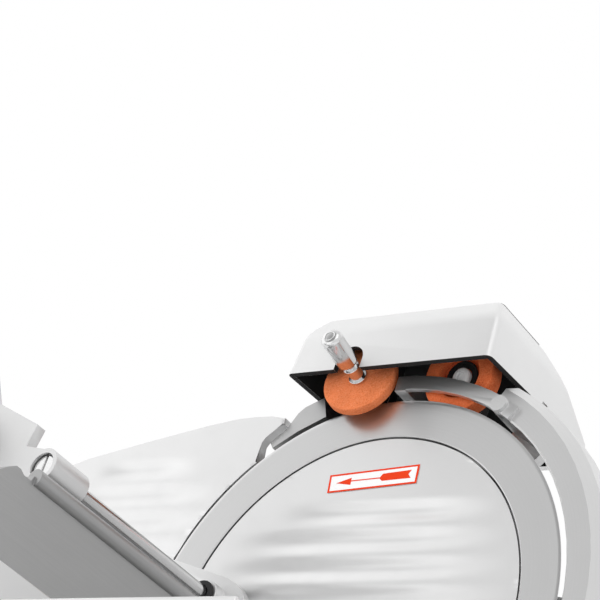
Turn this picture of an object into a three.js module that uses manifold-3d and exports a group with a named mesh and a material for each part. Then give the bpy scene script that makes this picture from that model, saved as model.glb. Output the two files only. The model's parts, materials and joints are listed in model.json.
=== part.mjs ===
// Electric gravity-feed meat slicer, 250 mm blade, sharpener swung into its working place.
// Millimetres, +Z up. X runs to the operator's right, Y runs away from the operator.
// Most of the machine leans back with the blade, so it is drawn in a leaning frame whose
// x runs along +Y of the machine, y climbs in the blade's plane and z is the blade's axis.
import * as THREE from 'three';
import { mergeVertices } from 'three/addons/utils/BufferGeometryUtils.js';
import Module from 'manifold-3d';

const wasm = await Module();
wasm.setup();

// Driving dimensions of the machine
const bladeRadius = 125;
const bladeLeanDegrees = 27.1;
const bladeCentreHeight = 215;
const footHeight = 15;
const baseHeight = 60;
const fitGap = 0.3;
const runGap = 0.6;
const overrun = 5;

// Base casting, measured from the blade's centre
const baseLeft = 185;
const baseRight = 95;
const baseFront = 225;
const baseRear = 175;
const baseCorner = 28;
const baseEdge = 5;
const baseWall = 5;
const baseTopWall = 6;
const channelDepth = 39;
const channelRoof = 13;
const channelEndWall = 12;
const columnStart = -30;
const columnEnd = 118;
const columnBottom = -180; // below the base's top, the floor cut trims it
const columnTop = -66;
const columnDepth = 44;
const footRadius = 19;
const footInset = 34;
const footStemRadius = 7;
const footStemHeight = 6;
const bottomPlateThickness = 1.6;

// Head plate that carries the blade, the guard ring and the sharpener
const headPlateFront = -20;
const headPlateThickness = 6;
const headRadius = 143;
const headHubShare = 0.1; // of the lobe radius, the disc starts there
const headLobeRadius = 66;
const headStartDegrees = -105;
const headEndDegrees = 129;
const pocketStartDegrees = 62;
const pocketEndDegrees = 109;
const pocketRadius = 118;
const toothStartDegrees = 87.6;
const toothEndDegrees = 91.4;
const toothRadius = 137;
const bearingBossRadius = 29;
const bearingBossDepth = 30;
const hornFace = -3;
const hornInnerRadius = 131;
const hornOuterRadius = 144.5;
const hornStepRadius = 137.5;
const hornStartDegrees = 112.5;
const hornStepDegrees = 120.5;
const hornFootDegrees = 1;
const hornRiseDegrees = 2.4;
const hornTipRadius = 135.5;
const gaugeReliefDegrees = 121.6;
const sightGapRadius = 108;
const sightGapStartDegrees = -8;
const sightGapEndDegrees = 51;
const postBossHalfWidth = 14;
const postBossBottom = 92;
const postBossTop = 131;
const postBossDepth = 36;

// Guard ring round the blade with its bridge over the grinding stone
const ringInnerRadius = 129;
const ringFaceRadius = 142;
const ringOuterRadius = 147;
const ringFace = 3;
const ringBevelDrop = 7;
const bridgeFace = 5.2;
const bridgeThickness = 3.2;
const bridgeOuterRadius = 137;
const bridgeStartDegrees = 55;
const bridgeEndDegrees = 90.8;
const bridgeNubRadius = 4.6;
const bridgeNubDegrees = 59.4;
const bridgeNubDistance = 132.6;
const bridgeNubHeight = 2.4;
const bridgeFootHalfWidth = 3.4;
const bridgeFootShift = 1.6;
const bridgeFootOverlap = 1;
const bridgeFootInset = 0.5;

// Blade, dished so that its front cover lies flush
const bladeRingInner = 103.4;
const bladeRingDrop = 1.2;
const bladeBevelInner = 117.5;
const bladeBevelDrop = 2.6;
const bladeEdgeLand = 0.2;
const bladeShoulderRadius = 106;
const bladeShoulderDrop = 6.5;
const bladeDishRadius = 98;
const bladeDishDrop = 10.5;
const bladeWebRadius = 62;
const bladeWebFront = 12;
const bladeWebThickness = 3;
const bladeSeatDrop = 4.6;
const bladeSeatRadius = 96;
const bladeSeatBottom = 7.2;
const bladeBoreRadius = 16;
const coverGap = 0.8;
const coverFront = -0.9;
const coverThickness = 3;
const coverBossRadius = 9;
const coverBossSink = 1; // how far the boss runs into the cover
const coverRibCount = 9;
const coverRibPitch = 16.3;
const coverRibTop = 59.5;
const coverRibDepth = 0.9;
const coverRibHalfHeight = 6.4;
const coverRibEndMargin = 9;
const coverTopRibHalfLength = 54;
const coverEdgeRound = 1.2;

// Spindle, bearings, pulleys and belt behind the head plate
const spindleRadius = 12;
const spindleBore = 5.6;
const spindleFlangeRadius = 34;
const spindleFlangeThickness = 4;
const spindleNoseLength = 3.1;
const spindleEnd = -70;
const bearingOuterRadius = 20.7;
const bearingWidth = 12;
const bearingSpread = 4.4;
const pulleyFront = -51.5;
const pulleyWidth = 12;
const pulleyRadius = 46;
const pulleyGrooves = 3;
const pulleyGrooveDepth = 1.7;
const pulleyWebThickness = 5;
const pulleyRimThickness = 5;
const pulleyHubRadius = 19;
const spindleNutRadius = 17;
const spindleNutThickness = 6;
const tieRodRadius = 4;
const tieKnobRadius = 17;
const tieKnobLength = 18;
const motorAcross = 94;
const motorUp = -8;
const motorPulleyRadius = 11;
const motorShaftRadius = 5;
const beltThickness = 3;
const beltWidth = 10;
const motorFront = -70;
const motorLength = 80;
const motorRadius = 38;
const motorWall = 5;
const rotorGap = 0.8;
const bracketRadius = 44;
const bracketThickness = 3;
const bracketHole = 13;
const bracketPostRadius = 5;
const bracketPostDistance = 38;
const bracketPostDegrees = [36, -36, -105];
const beltCoverRadius = 56;
const beltCoverClearance = 1.5;
const motorCoverRadius = 52;
const motorCoverEdge = 8;
const motorCoverInnerEdge = 9.5;
const coverWall = 3;
const beltCoverBack = -77;
const motorCoverBack = -160;
const ventCount = 5;
const ventWidth = 4;
const ventCornerPart = 2.1; // the slot ends are nearly half round
const ventPitch = 9;
const ventHalfLength = 24;

// Slice deflector behind the blade
const deflectorReach = 119;
const deflectorInner = 58.5;
const deflectorFlat = 68;
const deflectorHalfHeight = 75;
const deflectorThickness = 2;
const deflectorEdgeDrop = 9;
const deflectorBendReach = 84;
const deflectorBendDrop = 23;
const deflectorLimitRadius = 121;

// Sharpener housing
const housingHalfWidth = 65;
const housingTopHalfWidth = 57;
const housingTopTaper = 4;
const housingShoulderHalfWidth = 63;
const housingFront = 21;
const housingCreaseFront = 19.6;
const housingTopFront = 11.5;
const housingRear = -82;
const housingLip = 134.3;
const housingRearLip = 139.5;
const housingSkirt = 129;
const housingCrease = 160.7;
const housingTop = 175;
const housingRoofRear = -30;
const housingHipRear = -47;
const housingHip = 167;
const housingRearShoulder = 143;
const housingWall = 3.5;
const housingLedge = 0.6;
const notchRadius = 8.4;
const notchAside = -0.5;
const notchHeight = 140.2;
const sideNotchForward = -35;
const sideNotchHalfWidth = 2.6;
const sideNotchTop = 140.2;
const lugHalfWidth = 10;
const lugThickness = 6;
const lugBottom = 122;
const postRadius = 8;
const postAcross = -46;
const postBottom = 99;
const postTop = 156;
const postHolderRadius = 12.5;
const postHolderBottom = 144;
const clampHeight = 112;
const clampScrewRadius = 4;
const clampKnobRadius = 13;
const clampKnobLength = 17;
const clampKnobLobes = 6;

// Stones and the pin that presses the front stone on
const stoneRadius = 21;
const stoneThickness = 9.5;
const stoneEdge = 0.9;
const truingAcross = -24.5;
const truingUp = 135.5;
const truingForward = 9.8;
const truingTiltDegrees = 4.4;
const truingTurnDegrees = 6;
const truingThickness = 5.7;
const pushPinRadius = 3;
const pushKnobRadius = 5.9;
const pushKnobStart = 13;
const pushKnobLength = 23;
const pushKnobDome = 2.6;
const pushKnobRimShare = 0.82;
const pushKnobDropShare = 0.45;
const pushKnobFlatShare = 0.45;
const pushKnobEdge = 1.2;
const pushCollarRadius = 5.2;
const pushCollarLength = 1.4;
const pushHubRadius = 3.9;
const pushHubEnd = 8.5;
const pushRingRadius = 4.5;
const pushRingLength = 1.2;
const pushClipInset = 1;
const pushPinTail = 30;
const pushClipRadius = 5.2;
const pushClipThickness = 1.2;
const truingLugFront = -10;
const truingLugAcross = -27;
const springRadius = 4.9;
const springWire = 0.9;
const springTurns = 4;
const grindingAcross = 33;
const grindingUp = 137.7;
const grindingForward = 1;
const grindingTiltDegrees = 8;
const cupRadius = 12.3;
const cupDepth = 5;
const stoneScrewRadius = 3.9;
const stoneScrewHeadRadius = 5.5;
const stoneScrewHeadThickness = 3;
const stoneScrewLength = 21;
const stoneSocketRadius = 2.4;
const stoneSocketDepth = 1.8;
const grindingLugFront = -12.5;

// Gauge plate and its carriage
const gaugeThickness = 6;
const gaugeLeft = 262;
const gaugeLeftTop = 92;
const gaugeBottom = 104;
const gaugeCorner = 16;
const gaugeBladeGap = 1.5;
// Where the plate's arc round the blade ends, and its top edge from there to the left
const gaugeTipDegrees = 132.7;
const gaugeArcSteps = 24;
const cornerStepDegrees = 22.5;
const gaugeTopOutline = [
    [-87.6, 105.4], [-85.7, 109.3], [-75, 116.4], [-75.9, 120.4], [-85, 121.9],
    [-108.6, 122], [-129, 119.2], [-171.3, 111.4], [-214.6, 102.7],
];
const gaugeFirstRibShare = 0.6;
const gaugeRibCount = 9;
const gaugeRibPitch = 17;
const gaugeRibTop = 93;
const gaugeRibCentre = 168;
const gaugeRibHalfLength = 62;
const gaugeRibDepth = 0.9;
const gaugeRibHalfHeight = 6.5;
const gaugeArmCentre = 165;
const gaugeArmHalfWidth = 18;
const gaugeArmTop = 30;
const gaugeArmBottom = 104;
const gaugeArmThickness = 8;
const gaugeShaftRadius = 8;
const gaugeShaftUp = -85;
const gaugeShaftRear = -87;
const gaugeTravel = 15;
const lugTowerFront = -32;
const lugTowerRear = -75;
const lugTowerBottom = -160; // below the base's top, the floor cut trims it
const lugTowerTop = -70;
const followerThickness = 8;
const followerHalfWidth = 11;
const followerBottom = -148;
const followerSlotMargin = 4;
const camMaxRadius = 25;
const camMinRadius = 8.3;
const camThickness = 12;
const camHeight = -131;
const camTurnDegrees = 270;
const camSpareDegrees = 30;
const camGap = 1;
const dialShaftRadius = 5;
const dialRadius = 26;
const dialThickness = 22;
const dialGripCount = 12;
const dialGripStart = 0.5;
const dialGripRadius = 3;
const dialGripShare = 0.83;
const dialGripOutShare = 0.4;
const dialFlangeThickness = 4;
const dialFootShare = 0.86;
const dialShoulderShare = 0.8;
const dialFaceShare = 0.74;
const dialEdge = 2;

// Carriage: tray, wall, leg and slide
const wallFace = -60;
const wallThickness = 6;
const wallTop = -12;
const wallInner = 13.3;
const wallOuter = 186;
const wallStepStart = 162;
const wallStepEnd = 168;
const wallStepDrop = 3;
const wallStepRun = 1;
const wallCrestStart = 171;
const wallCrestEnd = 174;
const wallCrestDrop = 1.5;
const wallShoulderStart = 178.7;
const wallShoulderDrop = 4.7;
const wallShoulderEnd = 182.5;
const wallShoulderEndDrop = 8.2;
const wallOuterDrop = 14;
const rimRadius = 4.5;
const rimEnd = 161;
const rimSetBack = 1;
const trayTop = -98;
const trayThickness = 3;
const trayRight = 132;
const trayInner = 5;
const trayOuter = 190;
const trayFlangeTop = -57;
const trayFlangeThickness = 2.5;
const trayFlangeStart = 15;
const trayLipHeight = 8;
const trayCorner = 20;
const slideRodRadius = 8;
const slideRodAcross = 78;
const slideRodHeight = 40;
const slideRodSeat = 8;
const bushOuterRadius = 11;
const bushLength = 22;
const slideBlockHalfWidth = 14;
const slideBlockHalfHeight = 14;
const slideBlockHalfLength = 55;
const slideBlockCentre = 0;
const guideRailAcross = 69;
const guideRailThickness = 6;
const guideRailTop = 25.4;
const guideRailBottom = 17.6;
const guideLipThickness = 5;
const guideLipBottom = 19;
const legOffset = 100;
const legThickness = 12;
const legHalfWidth = 38;
const legTopHeight = 150;
const legWebThickness = 14;
const saddleInner = 34;
const saddleOuter = 104;
const saddleHalfWidth = 45;
const saddleThickness = 10;
const shoulderReach = 3;
const shoulderRaise = 0.5;
const shoulderHeight = 8;
const trayKnobAlong = 88;
const trayKnobRadius = 14;
const trayKnobLength = 16;
const trayKnobScrewRadius = 4;
const handleAlong = 150;
const handleUp = -64;
const handleRadius = 14;
const handleSwellShares = [0.62, 0.9, 1, 1, 0.94, 0.82];
const handleStartShare = 0.2;
const handleLength = 92;
const handleNeckRadius = 8;
const handleNeckLength = 6;

// Thumb guard, pusher rod and pusher
const guardInner = 8;
const guardThickness = 5;
const guardRight = 49;
const guardLeft = 126;
const guardBottom = -60;
const guardCrownAcross = 114;
const guardCrown = 28.6;
const guardHighAcross = 106;
const guardHigh = 26.4;
const guardLowAcross = 66;
const guardLow = 15.4;
const guardShoulderAcross = 60;
const guardShoulder = 12.1;
const guardSideTop = -4;
const guardSideCurve = 6;
const rodAcross = -73;
const rodUp = 1.8;
const rodRadius = 4.5;
const rodInnerEnd = 11;
const rodOuterEnd = 145.4;
const rodBossRadius = 9;
const rodBossLength = 7;
const rodSealLength = 1.6;
const rodSealRadius = 7.6;
const hubRadius = 9.3;
const hubInner = 125;
const hubOuter = 150;
const pusherBushRadius = 6.2;
const pusherBushInset = 2;
const hubRecessRadius = 6.9;
const hubRecessDepth = 4.6;
const rodScrewRadius = 6.2;
const rodScrewThickness = 2.6;
const rodScrewSlot = 1.2;
const pusherParkDegrees = 170;
const pusherPlateThickness = 6;
const armUpper = 9;
const armFar = 140;
const armFarUpper = 8;
const armFarCorner = 6;
const armLower = -90;
const armFootNear = 100;
const armBendAcross = 57.8;
const armBendDrop = 30.2;
const armStepAcross = 17.5;
const armStepDrop = 20.6;
const armNotchDrop = 8.5;
const teethPlateThickness = 3;
const teethPlateInset = 2;
const teethPlateNear = 92;
const teethPlateFootNear = 124;
const teethMargin = 7;
const toothHeight = 8;
const toothPitch = 14;
const toothHalfWidth = 4;
const pusherKnobAcross = 101;
const pusherKnobUp = -18;
const pusherKnobRadius = 17;
const pusherKnobStemRadius = 7;
const pusherKnobNeckShare = 0.8;
const pusherKnobRiseShare = 0.85;
const pusherKnobTopShare = 1.85;
const pusherKnobStemLength = 14;

// Switches, electrical parts and the cord inlet in the base
const panelCentre = 130;
const panelHeight = 45;
const panelHalfWidth = 34;
const panelHalfHeight = 20;
const panelThickness = 2.5;
const buttonRadius = 9.5;
const buttonEdge = 1.5;
const buttonSpread = 15;
const buttonProud = 6;
const buttonStem = 12;
const buttonStemRadius = 4;
const buttonTravel = 3;
const switchBlockDepth = 16;
const switchBlockInset = 6;
const switchBlockMargin = 4;
const switchFootWidth = 4;
const capacitorRadius = 16;
const capacitorLength = 62;
const glandRadius = 9;
const glandBore = 4.5;
const glandLength = 12;
const glandNutRadius = 12.5;
const glandNutLength = 5;
const glandStemLength = 8;
const glandStep = 2;
const glandTaperShare = 0.86;
const glandAcross = -70;
const glandHeight = 42;

const lean = THREE.MathUtils.degToRad(bladeLeanDegrees);
const baseBottomZ = footHeight;
const baseTopZ = footHeight + baseHeight;
const headPlateBack = headPlateFront - headPlateThickness;
const leaningFrame = new THREE.Matrix4().makeBasis(
    new THREE.Vector3(0, 1, 0),
    new THREE.Vector3(-Math.sin(lean), 0, Math.cos(lean)),
    new THREE.Vector3(Math.cos(lean), 0, Math.sin(lean)),
).setPosition(0, 0, bladeCentreHeight);

// Turns any closed geometry into a solid that can be cut and joined
function solidOf(geometry) {
    const bare = geometry.clone();
    for (const name of Object.keys(bare.attributes)) {
        if (name !== 'position') bare.deleteAttribute(name);
    }
    const welded = mergeVertices(bare);
    const places = welded.attributes.position.array;
    const corners = [];
    let volume = 0;
    const a = new THREE.Vector3();
    const b = new THREE.Vector3();
    const c = new THREE.Vector3();
    for (let i = 0; i < welded.index.count; i += 3) {
        const [p, q, r] = [0, 1, 2].map((k) => welded.index.getX(i + k));
        if (p === q || q === r || r === p) continue;
        corners.push(p, q, r);
        a.fromArray(places, 3 * p);
        b.fromArray(places, 3 * q);
        c.fromArray(places, 3 * r);
        volume += a.dot(b.cross(c));
    }
    if (volume < 0) corners.reverse();
    return new wasm.Manifold(new wasm.Mesh({
        numProp: 3,
        vertProperties: new Float32Array(places),
        triVerts: new Uint32Array(corners),
    }));
}

// Gives a solid back as geometry
function geometryOf(solid) {
    const mesh = solid.getMesh();
    const geometry = new THREE.BufferGeometry();
    geometry.setAttribute('position', new THREE.BufferAttribute(new Float32Array(mesh.vertProperties), 3));
    geometry.setIndex(Array.from(mesh.triVerts));
    return geometry;
}

function join(...shapes) {
    return geometryOf(shapes.map(solidOf).reduce((whole, next) => whole.add(next)));
}

function cut(body, ...tools) {
    return geometryOf(tools.map(solidOf).reduce((whole, next) => whole.subtract(next), solidOf(body)));
}

function common(one, other) {
    return geometryOf(solidOf(one).intersect(solidOf(other)));
}

// A box from one corner to the other
function block(x0, x1, y0, y1, z0, z1) {
    const box = new THREE.BoxGeometry(x1 - x0, y1 - y0, z1 - z0);
    return box.translate((x0 + x1) / 2, (y0 + y1) / 2, (z0 + z1) / 2);
}

// A round bar along z
function bar(radius, x, y, z0, z1, sides = 20) {
    const cylinder = new THREE.CylinderGeometry(radius, radius, z1 - z0, sides);
    return cylinder.rotateX(Math.PI / 2).translate(x, y, (z0 + z1) / 2);
}

// A round bar along y
function barAlongY(radius, x, z, y0, y1, sides = 20) {
    const cylinder = new THREE.CylinderGeometry(radius, radius, y1 - y0, sides);
    return cylinder.translate(x, (y0 + y1) / 2, z);
}

// A shape turned about z from points of radius and height
function turned(points, sides = 30) {
    const profile = points.map(([radius, height]) => new THREE.Vector2(radius, height));
    return new THREE.LatheGeometry(profile, sides).rotateX(Math.PI / 2);
}

function outline(points) {
    return new THREE.Shape(points.map(([x, y]) => new THREE.Vector2(x, y)));
}

// A flat outline given thickness along z
function slab(shape, z0, z1, curveSegments = 5) {
    const options = { depth: z1 - z0, bevelEnabled: false, curveSegments };
    return new THREE.ExtrudeGeometry(shape, options).translate(0, 0, z0);
}

// A rectangle with round corners
function roundedRectangle(x0, x1, y0, y1, radius) {
    const shape = new THREE.Shape();
    shape.moveTo(x0 + radius, y0);
    shape.lineTo(x1 - radius, y0);
    shape.absarc(x1 - radius, y0 + radius, radius, -Math.PI / 2, 0);
    shape.lineTo(x1, y1 - radius);
    shape.absarc(x1 - radius, y1 - radius, radius, 0, Math.PI / 2);
    shape.lineTo(x0 + radius, y1);
    shape.absarc(x0 + radius, y1 - radius, radius, Math.PI / 2, Math.PI);
    shape.lineTo(x0, y0 + radius);
    shape.absarc(x0 + radius, y0 + radius, radius, Math.PI, 1.5 * Math.PI);
    return shape;
}

function polar(radius, degrees) {
    const angle = THREE.MathUtils.degToRad(degrees);
    return [radius * Math.cos(angle), radius * Math.sin(angle)];
}

// A sector of a ring between two angles
function ringSector(inner, outer, startDegrees, endDegrees, z0, z1, stepDegrees = 4.5) {
    const steps = Math.max(2, Math.round((endDegrees - startDegrees) / stepDegrees));
    const angleAt = (i) => startDegrees + (endDegrees - startDegrees) * i / steps;
    const points = [];
    for (let i = 0; i <= steps; i++) points.push(polar(outer, angleAt(i)));
    for (let i = steps; i >= 0; i--) points.push(polar(inner, angleAt(i)));
    return slab(outline(points), z0, z1);
}

// The band that wraps round two circles, as a belt or a cover does
function wrapOutline(radiusA, radiusB, acrossB, upB) {
    const distance = Math.hypot(acrossB, upB);
    const heading = Math.atan2(upB, acrossB);
    const slant = Math.acos((radiusA - radiusB) / distance);
    const shape = new THREE.Shape();
    shape.absarc(0, 0, radiusA, heading + slant, heading + 2 * Math.PI - slant);
    shape.absarc(acrossB, upB, radiusB, heading - slant, heading + slant);
    return shape;
}

// A shallow trough with faded ends, the shape that parts the soft ribs of a plate
function trough(x, y, z, halfLength, halfHeight, depth) {
    return new THREE.SphereGeometry(1, 12, 8).rotateZ(Math.PI / 2).scale(halfLength, halfHeight, depth)
        .translate(x, y, z);
}

// A hand knob with lobes, its shank along +z from the face at zero
function lobedKnob(radius, length, lobes, screwRadius, screwLength) {
    const share = 0.86;
    const points = [];
    const steps = lobes * 6;
    for (let i = 0; i < steps; i++) {
        const angle = 360 * i / steps;
        const swell = (1 + share) / 2 + (1 - share) / 2 * Math.cos(2 * Math.PI * lobes * i / steps);
        points.push(polar(radius * swell, angle));
    }
    return join(slab(outline(points), -length, 0), bar(screwRadius, 0, 0, -length / 2, screwLength, 20));
}

function baseCasting() {
    const body = new THREE.ExtrudeGeometry(
        roundedRectangle(-baseLeft + baseEdge, baseRight - baseEdge, -baseFront + baseEdge,
            baseRear - baseEdge, baseCorner - baseEdge),
        { depth: baseHeight - 2 * baseEdge, bevelSize: baseEdge, bevelThickness: baseEdge,
            bevelSegments: 2, curveSegments: 5 },
    ).translate(0, 0, baseBottomZ + baseEdge);
    const channelSide = baseRight - channelDepth;
    const hollow = slab(
        roundedRectangle(-baseLeft + baseWall, channelSide - baseWall, -baseFront + baseWall,
            baseRear - baseWall, baseCorner - baseWall),
        baseBottomZ - overrun, baseTopZ - baseTopWall,
    );
    const channel = block(channelSide, baseRight + overrun, -baseFront + channelEndWall,
        baseRear - channelEndWall, baseBottomZ - overrun, baseTopZ - channelRoof);
    const column = slab(roundedRectangle(columnStart, columnEnd, columnBottom, columnTop, baseEdge),
        headPlateBack - fitGap - columnDepth, headPlateBack - fitGap).applyMatrix4(leaningFrame);
    const tower = slab(roundedRectangle(-gaugeArmCentre - gaugeArmHalfWidth,
        -gaugeArmCentre + gaugeArmHalfWidth, lugTowerBottom, lugTowerTop, baseEdge),
    lugTowerRear, lugTowerFront).applyMatrix4(leaningFrame);
    const underFloor = block(-baseLeft - overrun, baseRight + overrun, -baseFront - overrun,
        baseRear + overrun, -bladeCentreHeight, baseTopZ - baseTopWall);
    const shell = cut(body, hollow, channel);
    const raised = cut(join(column, tower), underFloor);
    const bore = bar(gaugeShaftRadius + fitGap, -gaugeArmCentre, gaugeShaftUp,
        lugTowerRear - overrun, lugTowerFront + overrun).applyMatrix4(leaningFrame);
    const slot = block(
        -gaugeArmCentre - followerHalfWidth - followerSlotMargin,
        -gaugeArmCentre + followerHalfWidth + followerSlotMargin,
        followerBottom - overrun, gaugeShaftUp,
        gaugeShaftRear - followerThickness - gaugeTravel - followerSlotMargin,
        gaugeShaftRear + followerSlotMargin,
    ).applyMatrix4(leaningFrame);
    const rodSeat = barAlongY(slideRodRadius + fitGap, slideRodAcross, slideRodHeight,
        -baseFront + channelEndWall - slideRodSeat, baseRear - channelEndWall + slideRodSeat);
    const railSeat = block(guideRailAcross - guideRailThickness / 2 - fitGap,
        guideRailAcross + guideRailThickness / 2 + fitGap,
        -baseFront + channelEndWall - slideRodSeat, baseRear - channelEndWall + slideRodSeat,
        baseBottomZ - overrun, guideRailTop + fitGap);
    const dialHole = barAlongY(dialShaftRadius + fitGap, camCentre().x, camCentre().z,
        -baseFront - overrun, -baseFront + baseWall + overrun, 24);
    const buttonHoles = [-buttonSpread, buttonSpread].map((side) => barAlongY(
        buttonStemRadius + runGap, -panelCentre + side, panelHeight,
        -baseFront - overrun, -baseFront + baseWall + overrun, 24));
    const glandHole = barAlongY(glandRadius - 2 + fitGap, glandAcross, glandHeight,
        baseRear - baseWall - overrun, baseRear + overrun, 24);
    return cut(join(shell, raised), bore, slot, rodSeat, railSeat, dialHole, ...buttonHoles, glandHole);
}

// Where the dial's shaft runs, seen from the operator
function camCentre() {
    const forward = gaugeShaftRear - followerThickness - camMaxRadius - camGap;
    return new THREE.Vector3(0, camHeight, forward).applyMatrix4(leaningFrame);
}

function bottomPlate() {
    const channelSide = baseRight - channelDepth;
    const holes = footPlaces().map(([x, y]) =>
        bar(footStemRadius + runGap, x, y, 0, baseBottomZ + baseWall, 24));
    return cut(slab(
        roundedRectangle(-baseLeft + baseWall + fitGap, channelSide - baseWall - fitGap,
            -baseFront + baseWall + fitGap, baseRear - baseWall - fitGap, baseCorner - baseWall),
        baseBottomZ, baseBottomZ + bottomPlateThickness,
    ), ...holes);
}

function footPlaces() {
    const left = -baseLeft + footInset;
    const right = baseRight - channelDepth - footInset;
    return [[left, -baseFront + footInset], [right, -baseFront + footInset],
        [left, baseRear - footInset], [right, baseRear - footInset]];
}

function rubberFoot() {
    const flare = 0.82;
    return turned([
        [0, 0], [footRadius * flare, 0], [footRadius, footHeight * flare], [footRadius, footHeight - fitGap],
        [footStemRadius, footHeight - fitGap], [footStemRadius, footHeight + footStemHeight],
        [0, footHeight + footStemHeight],
    ], 16);
}

function headCasting() {
    const disc = ringSector(headHubShare * headLobeRadius, headRadius, headStartDegrees, headEndDegrees,
        headPlateBack, headPlateFront);
    const lobe = bar(headLobeRadius, 0, 0, headPlateBack, headPlateFront, 64);
    const boss = bar(bearingBossRadius, 0, 0, headPlateFront - bearingBossDepth, headPlateFront, 48);
    const pockets = [[pocketStartDegrees, toothStartDegrees], [toothEndDegrees, pocketEndDegrees]].map(
        ([from, to]) => ringSector(pocketRadius, headRadius + overrun, from, to,
            headPlateBack - overrun, headPlateFront + overrun));
    const toothTip = ringSector(toothRadius, headRadius + overrun, toothStartDegrees - 1,
        toothEndDegrees + 1, headPlateBack - overrun, headPlateFront + overrun);
    const horn = slab(outline([
        polar(hornInnerRadius, hornStartDegrees), polar(hornOuterRadius, hornStartDegrees),
        polar(hornOuterRadius, (hornStartDegrees + hornStepDegrees) / 2 + 1),
        polar(headRadius, hornStepDegrees - hornFootDegrees),
        polar(hornStepRadius, hornStepDegrees + hornRiseDegrees),
        polar(hornTipRadius, headEndDegrees - 1), polar(hornInnerRadius, headEndDegrees - 1),
        polar(hornInnerRadius, hornStepDegrees),
    ]), headPlateBack, hornFace);
    const postBoss = block(-postBossHalfWidth, postBossHalfWidth, postBossBottom, postBossTop,
        headPlateBack - postBossDepth, headPlateBack + 1);
    const bore = bar(bearingOuterRadius + fitGap, 0, 0, headPlateFront - bearingBossDepth - overrun,
        headPlateFront + overrun, 48);
    const postBore = barAlongY(postRadius + fitGap, 0, postAcross,
        postBottom - fitGap, postBossTop + overrun);
    const clampBore = bar(clampScrewRadius + fitGap, 0, clampHeight,
        headPlateBack - postBossDepth - overrun, postAcross, 20);
    const frontOfBoss = block(-postBossHalfWidth - 1, postBossHalfWidth + 1, pocketRadius, postBossTop + 1,
        headPlateBack, headPlateBack + overrun);
    const gaugeRelief = ringSector(hornStepRadius, headRadius + overrun, gaugeReliefDegrees,
        headEndDegrees + 1, headPlateBack - overrun, headPlateFront + overrun);
    const sightGap = ringSector(sightGapRadius, headRadius + overrun, sightGapStartDegrees,
        sightGapEndDegrees, headPlateBack - overrun, headPlateFront + overrun);
    const whole = cut(join(cut(disc, gaugeRelief, sightGap), lobe, boss, horn), ...pockets, toothTip);
    return cut(join(whole, cut(postBoss, frontOfBoss)), bore, postBore, clampBore);
}

function guardRing() {
    const back = headPlateFront + fitGap;
    const ring = turned([
        [ringInnerRadius, back], [ringOuterRadius, back], [ringOuterRadius, ringFace - ringBevelDrop],
        [ringFaceRadius, ringFace], [ringInnerRadius + 1, ringFace], [ringInnerRadius, ringFace - 1],
        [ringInnerRadius, back],
    ], 64);
    const opening = ringSector(bladeRadius, ringOuterRadius + overrun, pocketStartDegrees,
        360 + headStartDegrees, back - overrun, ringFace + overrun);
    const bridge = ringSector(ringInnerRadius, bridgeOuterRadius, bridgeStartDegrees, bridgeEndDegrees,
        bridgeFace - bridgeThickness, bridgeFace);
    const [nubX, nubY] = polar(bridgeNubDistance, bridgeNubDegrees);
    const nub = bar(bridgeNubRadius, nubX, nubY, 0, bridgeFace + bridgeNubHeight, 24);
    const foot = block(-bridgeFootHalfWidth + bridgeFootShift, bridgeFootHalfWidth + bridgeFootShift,
        ringInnerRadius - bridgeFootOverlap, toothRadius - bridgeFootInset, back, bridgeFace);
    return join(cut(ring, opening), bridge, nub, foot);
}

function blade() {
    const back = -bladeWebFront - bladeWebThickness;
    return turned([
        [bladeBoreRadius, back], [bladeWebRadius, back], [bladeDishRadius, -bladeDishDrop],
        [bladeShoulderRadius, -bladeShoulderDrop], [bladeBevelInner, -bladeBevelDrop],
        [bladeRadius, -bladeEdgeLand], [bladeRadius, 0], [bladeRingInner, -bladeRingDrop],
        [bladeRingInner, -bladeSeatDrop], [bladeSeatRadius, -bladeSeatBottom],
        [bladeWebRadius, -bladeWebFront], [bladeBoreRadius, -bladeWebFront], [bladeBoreRadius, back],
    ], 64);
}

function bladeCover() {
    const radius = bladeRingInner - coverGap;
    const back = coverFront - coverThickness;
    const bossEnd = -bladeWebFront + runGap;
    const disc = turned([
        [0, back], [radius, back], [radius, coverFront - coverEdgeRound],
        [radius - coverEdgeRound, coverFront], [0, coverFront],
    ], 64);
    const boss = turned([
        [0, bossEnd], [coverBossRadius, bossEnd], [coverBossRadius, back + coverBossSink],
        [0, back + coverBossSink],
    ], 24);
    const troughs = [];
    for (let i = 0; i < coverRibCount; i++) {
        const height = coverRibTop - i * coverRibPitch;
        const chord = Math.sqrt(radius ** 2 - (Math.abs(height) + coverRibHalfHeight) ** 2);
        const reach = i === 0 ? Math.min(coverTopRibHalfLength, chord) : chord;
        troughs.push(trough(i === 0 ? coverRibEndMargin : 0, height, coverFront,
            reach - coverRibEndMargin, coverRibHalfHeight, coverRibDepth));
    }
    const socket = bar(tieRodRadius + fitGap, 0, 0, bossEnd - overrun, back - 1, 20);
    return cut(join(disc, boss), ...troughs, socket);
}

function spindle() {
    const back = -bladeWebFront - bladeWebThickness - fitGap;
    const flangeBack = back - spindleFlangeThickness;
    const nose = back + spindleNoseLength;
    return turned([
        [spindleBore, spindleEnd], [spindleRadius, spindleEnd], [spindleRadius, flangeBack],
        [spindleFlangeRadius, flangeBack], [spindleFlangeRadius, back],
        [bladeBoreRadius - runGap, back], [bladeBoreRadius - runGap, nose], [spindleBore, nose],
        [spindleBore, spindleEnd],
    ]);
}

function bearing(front) {
    return turned([
        [spindleRadius + fitGap, front - bearingWidth], [bearingOuterRadius, front - bearingWidth],
        [bearingOuterRadius, front], [spindleRadius + fitGap, front],
        [spindleRadius + fitGap, front - bearingWidth],
    ]);
}

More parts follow.
